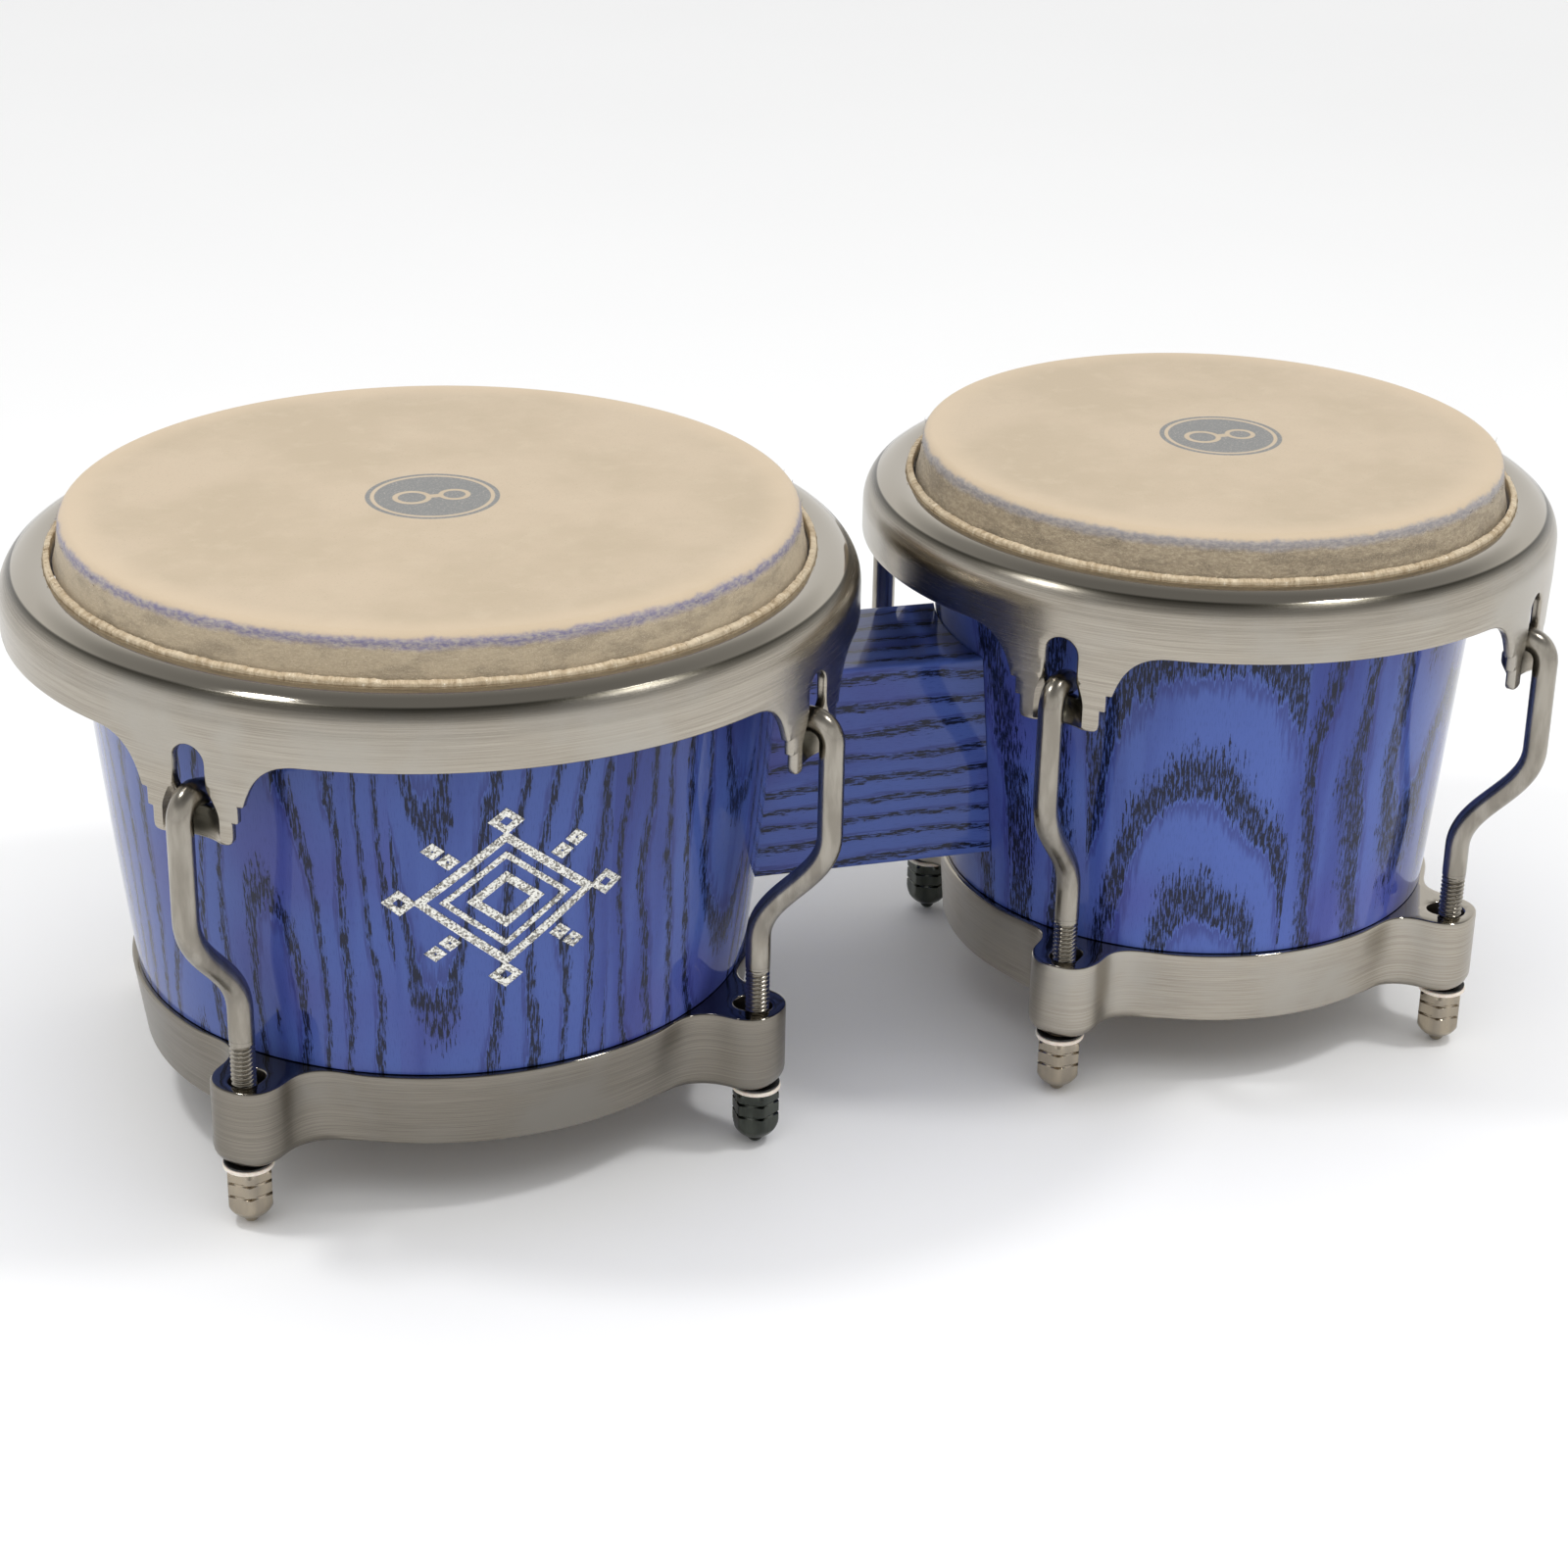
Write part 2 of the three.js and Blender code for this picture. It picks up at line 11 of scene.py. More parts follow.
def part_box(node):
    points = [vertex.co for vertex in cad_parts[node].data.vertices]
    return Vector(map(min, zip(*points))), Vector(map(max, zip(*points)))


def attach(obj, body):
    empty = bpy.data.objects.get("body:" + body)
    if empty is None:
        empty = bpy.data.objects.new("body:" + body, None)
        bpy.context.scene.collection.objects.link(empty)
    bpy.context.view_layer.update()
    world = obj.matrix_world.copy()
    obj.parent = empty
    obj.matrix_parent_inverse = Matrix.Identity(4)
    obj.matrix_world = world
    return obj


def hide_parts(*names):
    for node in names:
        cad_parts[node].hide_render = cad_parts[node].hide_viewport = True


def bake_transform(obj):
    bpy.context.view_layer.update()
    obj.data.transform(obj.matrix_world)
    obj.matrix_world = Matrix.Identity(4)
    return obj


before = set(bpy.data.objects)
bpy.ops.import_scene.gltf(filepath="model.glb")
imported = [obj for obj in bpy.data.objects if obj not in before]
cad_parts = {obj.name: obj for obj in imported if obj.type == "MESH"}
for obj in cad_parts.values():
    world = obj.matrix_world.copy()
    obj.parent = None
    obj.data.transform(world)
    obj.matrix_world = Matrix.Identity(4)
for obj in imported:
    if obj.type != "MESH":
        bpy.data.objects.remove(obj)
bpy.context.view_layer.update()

MM = 0.001
WELD = 2e-6                       # metres, joins the rows of neighbouring patches

# ---------- sizes, in millimetres ----------
LUGS = ("rear_right", "rear_left", "front_left", "front_right")
SECTOR = math.pi / 4              # half the arc between two lugs
COLUMNS = 72                      # mesh columns along one such arc pair
GAP = 0.3

SKIN = 1.2
COLLAR_DROP = 14.5
COLLAR_FLARE = 2.2
SHELL_BOTTOM = 26.3
SHELL_FULL = 184.0                # the outside is a plain taper below this
SHELL_WALL = 9.5
SHELL_MIDDLE = 110.0
SHELL_INSET = 1.5                 # outside of the shell inside the skin's radius
REBATE = 1.5

RING_BOTTOM = 23.2
RING_TOP = 47.0
RING_PROUD = 1.7
RING_LIP = 7.0
RING_EDGE = 0.8
EAR_BOTTOM = 21.2
EAR_HALF = 11.2
EAR_OVERHANG = 8.0
EAR_CORNER = 8.0
EAR_RUNOUT = 28.0                 # how far sideways the ear's fillet reaches
EAR_FOOT_EDGE = 4.6               # rounded lower edge of an ear
EAR_SLOT = {"width": 9.2, "inward": 7.5, "outward": 4.6, "edge": 0.6}

PLATE = 3.0                       # the rim's steel
PLATE_EDGE = 0.7
ROLL = 11.0
ROLL_HEIGHT = 166.5
ROLL_END = 105.0                  # degrees
ROLL_POLISH = 175.1               # the roll is polished above this height
BAND_BOTTOM = 157.4
TAB = {"bottom": 131.5, "half": 13.0, "corner": 2.2, "step": 1.8, "step_top": 143.5,
       "step_drop": 5.2, "shoulder": 33.5, "ogee": 21.5, "bow": 0.3}
SLOT = {"half": 5.2, "bottom": 139.2, "top": 159.4, "corner": 2.0}
SCOOP = {"half": {"large": 9.4, "small": 8.0}, "depth": 6.0, "start": 151.0, "full": 138.5}

HOOP = {"radial": 6.6, "bottom": 165.5, "top": 172.9, "lip_top": 179.2, "lip": 1.6}

ROD = 3.8
THREAD = {"radius": 3.75, "depth": 0.8, "pitch": 1.411, "bottom": 9.2, "top": 60.2, "shoulder": 61.2}
BEND = {"start": 70.0, "end": 109.0, "ease": 15.5, "stand_off": 4.8, "top": 144.5, "roll": 7.0, "reach": 6.5,
        "droop": 1.2}

NUT = {"corner": 7.4, "top": 18.7, "groove": 1.15, "grooves": (10.9, 15.2), "bore": 4.2, "floor": 4.6}
NUT_TURN = {"large": (17.0, 40.0, 54.0, 1.1), "small": (25.0, 8.0, 38.2, 30.9)}  # degrees, in lug order
BLOCK = {"half": 24.5, "bottom": 64.5, "top": 132.5, "edge": 1.6}
EMBLEM = {"height": 106.0, "half_width": 35.0, "half_height": 29.0, "line": 1.7, "relief": 0.35}
BADGES = {"large": (0.0, 20.0), "small": (3.0, 19.3)}  # printed medallion: aside from the axis, radius


class Drum:
    """One drum's own sizes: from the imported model, apart from the taper of its shell."""

    def __init__(self, name, foot, bulge):
        self.name = name
        low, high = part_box(f"{name}_rim")
        self.x = (low.x + high.x) / 2 / MM
        self.rim = (high.y - low.y) / 2 / MM
        low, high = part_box(f"{name}_head_skin")
        self.head = (high.x - low.x) / 2 / MM - COLLAR_FLARE
        self.top = high.z / MM
        self.foot = foot
        self.bulge = bulge
        self.lugs = {}
        for lug in LUGS:
            low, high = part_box(f"{name}_nut_{lug}")
            x = (low.x + high.x) / 2 / MM - self.x
            y = (low.y + high.y) / 2 / MM
            self.lugs[lug] = math.atan2(y, x)
            self.rod = math.hypot(x, y)

    def shell(self, z):
        """Outside radius of the shell at a height."""
        t = (z - SHELL_BOTTOM) / (SHELL_FULL - SHELL_BOTTOM)
        chord = self.foot + (self.head - SHELL_INSET - self.foot) * t
        return chord + self.bulge * 4 * t * (1 - t)

    def ring(self, z):
        return self.shell(z) + RING_PROUD


LARGE = Drum("large", foot=92.3, bulge=1.4)
SMALL = Drum("small", foot=77.4, bulge=0.0)


# ---------- mesh helpers ----------
class Shape:
    """Points and faces gathered patch by patch, welded when the piece is made."""

    def __init__(self):
        self.points = []
        self.faces = []
        self.count = 0

    def add(self, points, faces):
        self.points.append(np.asarray(points, float).reshape(-1, 3))
        self.faces.extend((np.asarray(faces) + self.count).tolist())
        self.count += len(self.points[-1])

    def grid(self, points, wrap=False):
        rows, columns = points.shape[:2]
        index = np.arange(rows * columns).reshape(rows, columns)
        if wrap:
            index = np.hstack([index, index[:, :1]])
        quads = np.stack([index[:-1, :-1], index[:-1, 1:], index[1:, 1:], index[1:, :-1]], -1)
        self.add(points, quads.reshape(-1, 4))


def smooth(value, start, end):
    t = np.clip((np.asarray(value, float) - start) / (end - start), 0, 1)
    return t * t * (3 - 2 * t)


def arc(x, y, radius, start, end, steps):
    """Points of an arc, its angles in degrees."""
    a = np.radians(np.linspace(start, end, steps + 1))
    return np.column_stack([x + radius * np.cos(a), y + radius * np.sin(a)])


def bezier(a, b, c, d, steps):
    t = np.linspace(0, 1, steps + 1)[:, None]
    a, b, c, d = (np.asarray(p, float) for p in (a, b, c, d))
    return a * (1 - t) ** 3 + 3 * b * t * (1 - t) ** 2 + 3 * c * t * t * (1 - t) + d * t ** 3


def fillet(corners, steps=4, closed=True):
    """An outline from (x, y, radius) corners, each rounded to its radius."""
    out = []
    count = len(corners)
    for i, (x, y, radius) in enumerate(corners):
        here = np.array([x, y], float)
        if radius == 0 or (not closed and i in (0, count - 1)):
            out.append(here[None])
            continue
        before = np.array(corners[i - 1][:2], float) - here
        after = np.array(corners[(i + 1) % count][:2], float) - here
        u, v = before / np.linalg.norm(before), after / np.linalg.norm(after)
        angle = math.acos(float(np.clip(u @ v, -1, 1)))
        reach = radius / math.tan(angle / 2)
        reach = min(reach, 0.49 * np.linalg.norm(before), 0.49 * np.linalg.norm(after))
        t = np.linspace(0, 1, steps + 1)[:, None]
        out.append((here + u * reach) * (1 - t) ** 2 + 2 * here * t * (1 - t) + (here + v * reach) * t * t)
    return np.vstack(out)


def resample(path, spacing):
    """The path with its long segments divided."""
    out = [path[:1]]
    for a, b in zip(path[:-1], path[1:]):
        steps = max(1, int(math.ceil(np.linalg.norm(b - a) / spacing)))
        out.append(a + (b - a) * (np.arange(1, steps + 1) / steps)[:, None])
    return np.vstack(out)


def mitres(path, closed):
    """At each point of a path, the way a parallel path one unit to its left goes."""
    if closed:
        around = np.vstack([path[-1:], path, path[:1]])
    else:
        around = np.vstack([2 * path[:1] - path[1:2], path, 2 * path[-1:] - path[-2:-1]])
    step = np.diff(around, axis=0)
    step /= np.linalg.norm(step, axis=1)[:, None]
    left = np.column_stack([-step[:, 1], step[:, 0]])
    before, after = left[:-1], left[1:]
    return (before + after) / (1 + (before * after).sum(1))[:, None]


def revolve(shape, profile, segments, closed=True, reach=None):
    """Turns an (r, z) profile; reach(radii, angles) may shape the turned surface."""
    profile = np.asarray(profile, float)
    if closed:
        profile = np.vstack([profile, profile[:1]])
    a = np.linspace(0, 2 * math.pi, segments, endpoint=False)
    r = np.repeat(profile[:, :1], segments, 1)
    if reach is not None:
        r = reach(r, a[None, :])
    z = np.repeat(profile[:, 1:], segments, 1)
    shape.grid(np.stack([r * np.cos(a), r * np.sin(a), z], -1), wrap=True)
    return shape


def inside(points, loop):
    """Which points lie inside a closed loop."""
    a, b = loop, np.roll(loop, -1, axis=0)
    x, y = points[:, :1], points[:, 1:]
    crosses = (a[:, 1] > y) != (b[:, 1] > y)
    rise = np.where(a[:, 1] == b[:, 1], 1.0, b[:, 1] - a[:, 1])
    at = a[:, 0] + (y - a[:, 1]) * (b[:, 0] - a[:, 0]) / rise
    return (crosses & (x < at)).sum(1) % 2 == 1


def clearance(points, loop):
    """Each point's distance from a closed loop."""
    a, b = loop, np.roll(loop, -1, axis=0)
    along = b - a
    length = np.maximum((along ** 2).sum(1), 1e-12)
    t = np.clip(((points[:, None] - a) * along).sum(2) / length, 0, 1)
    return np.linalg.norm(points[:, None] - a - t[..., None] * along, axis=2).min(1)


def triangulate(loop, hole, clouds):
    """Fills a loop around a hole, through clouds of (points, room each needs at the edges)."""
    kept = [loop, hole]
    for cloud, room in clouds:
        cloud = cloud[inside(cloud, loop) & ~inside(cloud, hole)]
        cloud = cloud[(clearance(cloud, loop) > room) & (clearance(cloud, hole) > room)]
        kept.append(cloud)
    points = np.vstack(kept)
    edges = []
    start = 0
    for ring in (loop, hole):
        edges += [(start + i, start + (i + 1) % len(ring)) for i in range(len(ring))]
        start += len(ring)
    found = delaunay_2d_cdt([Vector(p) for p in points], edges, [], 0, 1e-7)
    flat = np.array([tuple(v) for v in found[0]])
    faces = np.array(found[2])
    middle = flat[faces].mean(1)
    return flat, faces[inside(middle, loop) & ~inside(middle, hole)]


def lattice(x, y, spacing):
    """Grid points between two pairs of limits."""
    across = np.arange(math.ceil(x[0] / spacing), math.floor(x[1] / spacing) + 1) * spacing
    up = np.arange(math.ceil(y[0] / spacing), math.floor(y[1] / spacing) + 1) * spacing
    return np.stack(np.meshgrid(across, up), -1).reshape(-1, 2)


def edge_rows(edge, thickness, steps=3):
    """(inset, depth) of the rows over a plate's rounded edge, from its face to its back."""
    a = np.radians(np.linspace(0, 90, steps + 1))
    front = np.column_stack([edge * (1 - np.sin(a)), edge * (1 - np.cos(a))])
    back = front[::-1] * [1, -1] + [0, thickness]
    return np.vstack([front, back])


def rotation(angle):
    """The matrix that turns rows of (x, y, z) about Z."""
    cosine, sine = math.cos(angle), math.sin(angle)
    return np.array([[cosine, sine, 0], [-sine, cosine, 0], [0, 0, 1]])


def at_rod(shape, drum, lug, turn=0.0):
    """Turns a shape built about the origin, and moves it to the axis of one rod."""
    foot = np.array([drum.rod * math.cos(lug), drum.rod * math.sin(lug), 0])
    shape.points = [points @ rotation(turn) + foot for points in shape.points]
    return shape


def piece(name, shape, material, body, slot, *nodes, at=0.0, sharp=38):
    """Makes one object from a shape built about the axis x = at, and joins it to the frame."""
    mesh = bpy.data.meshes.new(name)
    mesh.from_pydata((np.vstack(shape.points) * MM).tolist(), [], shape.faces)
    work = bmesh.new()
    work.from_mesh(mesh)
    bmesh.ops.remove_doubles(work, verts=work.verts, dist=WELD)
    bmesh.ops.recalc_face_normals(work, faces=work.faces)
    work.to_mesh(mesh)
    work.free()
    local = np.zeros(len(mesh.vertices) * 3, np.float32)
    mesh.vertices.foreach_get("co", local)
    mesh.attributes.new("turned", "FLOAT_VECTOR", "POINT").data.foreach_set("vector", local)
    mesh.transform(Matrix.Translation((at * MM, 0, 0)))
    mesh.shade_smooth()
    mesh.set_sharp_from_angle(angle=math.radians(sharp))
    mesh.materials.append(material)
    made = bpy.data.objects.new(name, mesh)
    bpy.context.scene.collection.objects.link(made)
    if body is not None:
        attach(made, body)
    if nodes:
        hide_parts(*nodes)
    return made


# ---------- shader helpers ----------
class Shader:
    """A material under construction: each method adds a node and returns its output."""

    def __init__(self, name):
        self.material = bpy.data.materials.new(name)
        self.material.use_nodes = True
        self.tree = self.material.node_tree
        self.surface = self.tree.nodes["Principled BSDF"]
        turned = self.node("Attribute", attribute_name="turned").outputs["Vector"]
        self.place = self.stretch(turned, 1 / MM, 1 / MM, 1 / MM)
        self.x, self.y, self.z = self.split(self.place)

    def node(self, kind, inputs=(), **settings):
        made = self.tree.nodes.new("ShaderNode" + kind)
        for key, value in settings.items():
            setattr(made, key, value)
        for key, value in dict(inputs).items():
            self.feed(made.inputs[key], value)
        return made

    def feed(self, socket, value):
        if isinstance(value, bpy.types.NodeSocket):
            self.tree.links.new(value, socket)
        else:
            socket.default_value = value

    def stretch(self, value, x, y, z):
        return self.node("VectorMath", {0: value, 1: (x, y, z)}, operation="MULTIPLY").outputs[0]

    def length(self, x, y):
        return self.node("VectorMath", {0: self.join(x, y, 0.0)}, operation="LENGTH").outputs["Value"]

    def around(self, rise):
        """A place on a unit circle at the point's angle about the drum's axis, stretched upwards."""
        angle = self.math("ARCTAN2", self.y, self.x)
        height = self.times(self.z, rise)
        return self.join(self.math("COSINE", angle), self.math("SINE", angle), height)

    def split(self, value):
        return self.node("SeparateXYZ", {0: value}).outputs[:3]

    def join(self, x, y, z):
        return self.node("CombineXYZ", {0: x, 1: y, 2: z}).outputs[0]

    def math(self, operation, a, b=0.0, c=0.0):
        return self.node("Math", {0: a, 1: b, 2: c}, operation=operation).outputs[0]

    def times(self, a, b):
        return self.math("MULTIPLY", a, b)

    def plus(self, a, b):
        return self.math("ADD", a, b)

    def minus(self, a, b):
        return self.math("SUBTRACT", a, b)

    def fade(self, value, start, end, low=0.0, high=1.0):
        """A smooth step from low to high."""
        return self.node("MapRange", {"Value": value, "From Min": start, "From Max": end,
                                      "To Min": low, "To Max": high},
                         interpolation_type="SMOOTHSTEP").outputs[0]

    def noise(self, place, scale, detail=3.0, rough=0.55, warp=0.0):
        return self.node("TexNoise", {"Vector": place, "Scale": scale, "Detail": detail,
                                      "Roughness": rough, "Distortion": warp}).outputs["Fac"]

    def mix(self, amount, a, b):
        made = self.node("Mix", {"Factor": amount}, data_type="RGBA")
        self.feed(made.inputs[6], a)
        self.feed(made.inputs[7], b)
        return made.outputs[2]

    def bump(self, height, distance, strength=1.0):
        made = self.node("Bump", {"Height": height, "Distance": distance * MM, "Strength": strength})
        self.tree.links.new(made.outputs[0], self.surface.inputs["Normal"])

    def finish(self, **inputs):
        for key, value in inputs.items():
            self.feed(self.surface.inputs[key.replace("_", " ")], value)
        return self.material


def rgb(red, green, blue):
    return (red, green, blue, 1.0)


# ---------- materials ----------
ASH_LIGHT = rgb(0.078, 0.132, 0.440)
ASH_VIOLET = rgb(0.072, 0.080, 0.340)
ASH_DEEP = rgb(0.022, 0.032, 0.230)
ASH_LINE = rgb(0.022, 0.018, 0.140)
ASH_DARK = rgb(0.003, 0.005, 0.018)
BEARING_LINE = {"large": rgb(0.190, 0.170, 0.270), "small": rgb(0.250, 0.235, 0.245)}
COLLAR = {"large": rgb(0.40, 0.325, 0.225), "small": rgb(0.27, 0.215, 0.145)}
RAW_LIGHT = rgb(0.52, 0.38, 0.22)
RAW_DARK = rgb(0.26, 0.16, 0.08)
LACQUER = {"Coat_Roughness": 0.03, "Coat_IOR": 1.34}
# Per drum: how many staves, millimetres from year ring to year ring, the part of them that is open grain,
# how far the rings wander and lean, how strong the stain's light colour is, and where three slow waves
# around the staves begin, which set each one's figure.
STAVES = {"large": {"count": 10, "ring": 8.0, "band": 0.40, "wander": 30.0, "slant": 0.15, "tone": 0.76,
                    "figure": (5.52, 4.78, 8.29)},
          "small": {"count": 8, "ring": 16.0, "band": 0.58, "wander": 46.0, "slant": 0.28, "tone": 0.95,
                    "figure": (0.25, 3.08, 3.4)}}
BLOCK_WOOD = {"ring": 7.5, "band": 0.45, "wander": 22.0, "slant": 0.05, "tone": 0.80,
              "figure": (3.0, 1.0, 2.0)}


def ash_grain(s, along, across, board_width, wood):
    """(darkness, pores, blue stain) of ash boards side by side, from coordinates along and across them."""
    turn, rise, lean = wood["figure"]
    board = s.math("FLOOR", s.math("DIVIDE", across, board_width))

    def by_board(step, start, middle, spread):
        wave = s.math("SINE", s.math("MULTIPLY_ADD", board, step, start))
        return s.math("MULTIPLY_ADD", wave, spread, middle)

    def strands(fine_across, fine_along, detail, rough=0.55):
        place = s.join(s.times(across, fine_across), s.times(along, fine_along), board)
        return s.noise(place, 1.0, detail, rough)

    wander = s.times(s.minus(strands(0.020, 0.0075, 2.0), 0.5), wood["wander"])
    middle = s.times(s.plus(board, 0.5), board_width)
    pith = s.plus(middle, by_board(2.1, turn, 0.0, 26.0))
    sideways = s.plus(s.minus(across, pith), wander)
    deep = s.times(by_board(2.9, lean, wood["slant"], wood["slant"] * 0.4),
                  s.minus(along, by_board(1.3, rise, 105.0, 110.0)))
    square = s.plus(s.times(sideways, sideways), s.times(deep, deep))
    ragged = s.times(strands(0.9, 0.07, 3.0), 0.42)
    phase = s.plus(s.math("DIVIDE", s.math("SQRT", square), wood["ring"]), ragged)
    year = s.math("FRACT", phase)
    early = s.times(s.fade(year, 0.0, 0.05), s.fade(year, wood["band"], wood["band"] * 0.4))
    dash = strands(2.0, 0.20, 3.0, 0.62)
    open_grain = s.fade(s.math("MULTIPLY_ADD", early, 0.17, dash), 0.60, 0.66)
    pores = s.times(open_grain, s.fade(early, 0.02, 0.2))
    faint = s.times(s.fade(strands(4.0, 0.30, 2.0), 0.54, 0.66), 0.16)
    shade = s.math("MAXIMUM", s.times(early, 0.26), faint)
    dark = s.math("MAXIMUM", s.times(pores, 0.97), shade)
    line = s.times(s.fade(year, 0.84, 0.97), s.fade(year, 1.0, 0.985))
    colour = s.mix(s.fade(strands(0.016, 0.012, 2.0), 0.47, 0.72, 0.0, 0.8), ASH_LIGHT, ASH_VIOLET)
    colour = s.mix(s.fade(strands(0.045, 0.004, 3.0), 0.50, 0.68, 0.0, 0.65), colour, ASH_DEEP)
    colour = s.mix(s.times(line, 0.5), colour, ASH_LINE)
    colour = s.mix(wood["tone"], rgb(0.0, 0.0, 0.0), colour)
    return dark, pores, s.mix(dark, colour, ASH_DARK)


def shell_wood(drum):
    """Blue-stained staves under gloss lacquer outside, raw ash inside."""
    s = Shader(f"{drum.name}_shell_ash")
    radius = drum.shell(SHELL_MIDDLE)
    across = s.times(s.math("ARCTAN2", s.y, s.x), radius)
    wood = STAVES[drum.name]
    stave = 2 * math.pi * radius / wood["count"]
    dark, pores, blue = ash_grain(s, s.z, across, stave, wood)
    away = s.length(s.x, s.y)
    low = drum.shell(SHELL_BOTTOM) - SHELL_WALL / 2
    slope = (drum.shell(SHELL_FULL) - drum.shell(SHELL_BOTTOM)) / (SHELL_FULL - SHELL_BOTTOM)
    middle = s.math("MULTIPLY_ADD", s.z, slope, low - slope * SHELL_BOTTOM)
    outside = s.math("GREATER_THAN", away, middle)
    raw = s.mix(dark, RAW_LIGHT, RAW_DARK)
    s.bump(s.times(pores, s.minus(1.0, outside)), -0.25)
    return s.finish(Base_Color=s.mix(outside, raw, blue), Roughness=s.fade(outside, 0.0, 1.0, 0.75, 0.42),
                    Specular_IOR_Level=0.05, Coat_Weight=outside, **LACQUER)


def block_wood():
    s = Shader("centre_block_ash")
    across = s.plus(s.z, s.times(s.y, 0.8))
    blue = ash_grain(s, s.x, across, 400.0, BLOCK_WOOD)[2]
    return s.finish(Base_Color=blue, Roughness=0.42, Specular_IOR_Level=0.05, Coat_Weight=1.0, **LACQUER)


def nickel(name, tone, rough, polish_above=None, face=None):
    """Dark nickel plating, brushed around the drum; polished above a height, or on its top faces.

    Below the polished part, what lies deeper than the outer face is painted darker: painted shade in the
    scoops of the rim's tabs and on the rim's inside.
    """
    s = Shader(name)
    lines = s.around(4.2)
    streak = s.noise(s.stretch(lines, 3.0, 3.0, 1.0), 1.0, 4.0, 0.7)
    hair = s.noise(s.stretch(lines, 9.0, 9.0, 3.2), 1.0, 3.0, 0.7)
    cloud = s.noise(s.place, 0.03, 3.0)
    brushed = s.mix(s.fade(streak, 0.32, 0.68), rgb(0.310, 0.280, 0.235), rgb(0.465, 0.425, 0.360))
    brushed = s.mix(s.fade(cloud, 0.45, 0.7), brushed, rgb(0.41, 0.385, 0.340))
    if polish_above is None:
        polish = s.fade(s.split(s.node("NewGeometry").outputs["Normal"])[2], 0.55, 0.8)
    else:
        polish = s.fade(s.z, polish_above - 0.25, polish_above + 0.25)
    colour = s.mix(polish, brushed, rgb(0.42, 0.385, 0.325))
    # A tone below 1 darkens the whole colour; the large drum's ring uses this as painted shade.
    colour = s.mix(tone, rgb(0.0, 0.0, 0.0), colour)
    if face is not None:
        # Painted shade: the colour darkens where the surface lies 1 to 4.2 mm inside the outer face, below
        # the polished roll.
        recess_shade = s.fade(s.length(s.x, s.y), face - 1.0, face - 4.2)
        recess_shade = s.times(recess_shade, s.minus(1.0, polish))
        colour = s.mix(recess_shade, colour, rgb(0.060, 0.055, 0.042))
    satin = s.math("MULTIPLY_ADD", hair, 0.16, rough)
    s.bump(s.times(hair, s.minus(1.0, polish)), 0.02, 0.5)
    even = s.math("MULTIPLY_ADD", s.minus(0.07, satin), polish, satin)
    return s.finish(Base_Color=colour, Metallic=1.0, Roughness=even)


def rod_steel(name, colour, darker, rough, speck=0.35):
    """Plated rod: nearly polished, with fine specks and cloudy patches."""
    s = Shader(name)
    cloud = s.noise(s.stretch(s.place, 0.25, 0.25, 0.05), 1.0, 4.0)
    specks = s.fade(s.noise(s.place, 1.1, 2.0, 0.6), 0.66, 0.74)
    grain = s.noise(s.stretch(s.place, 3.0, 3.0, 0.4), 1.0, 3.0, 0.6)
    tint = s.mix(s.fade(cloud, 0.35, 0.68), darker, colour)
    s.bump(s.math("MULTIPLY_ADD", specks, speck, s.times(grain, 0.3)), 0.06, 0.4)
    return s.finish(Base_Color=tint, Metallic=1.0, Roughness=s.math("MULTIPLY_ADD", grain, 0.14, rough))


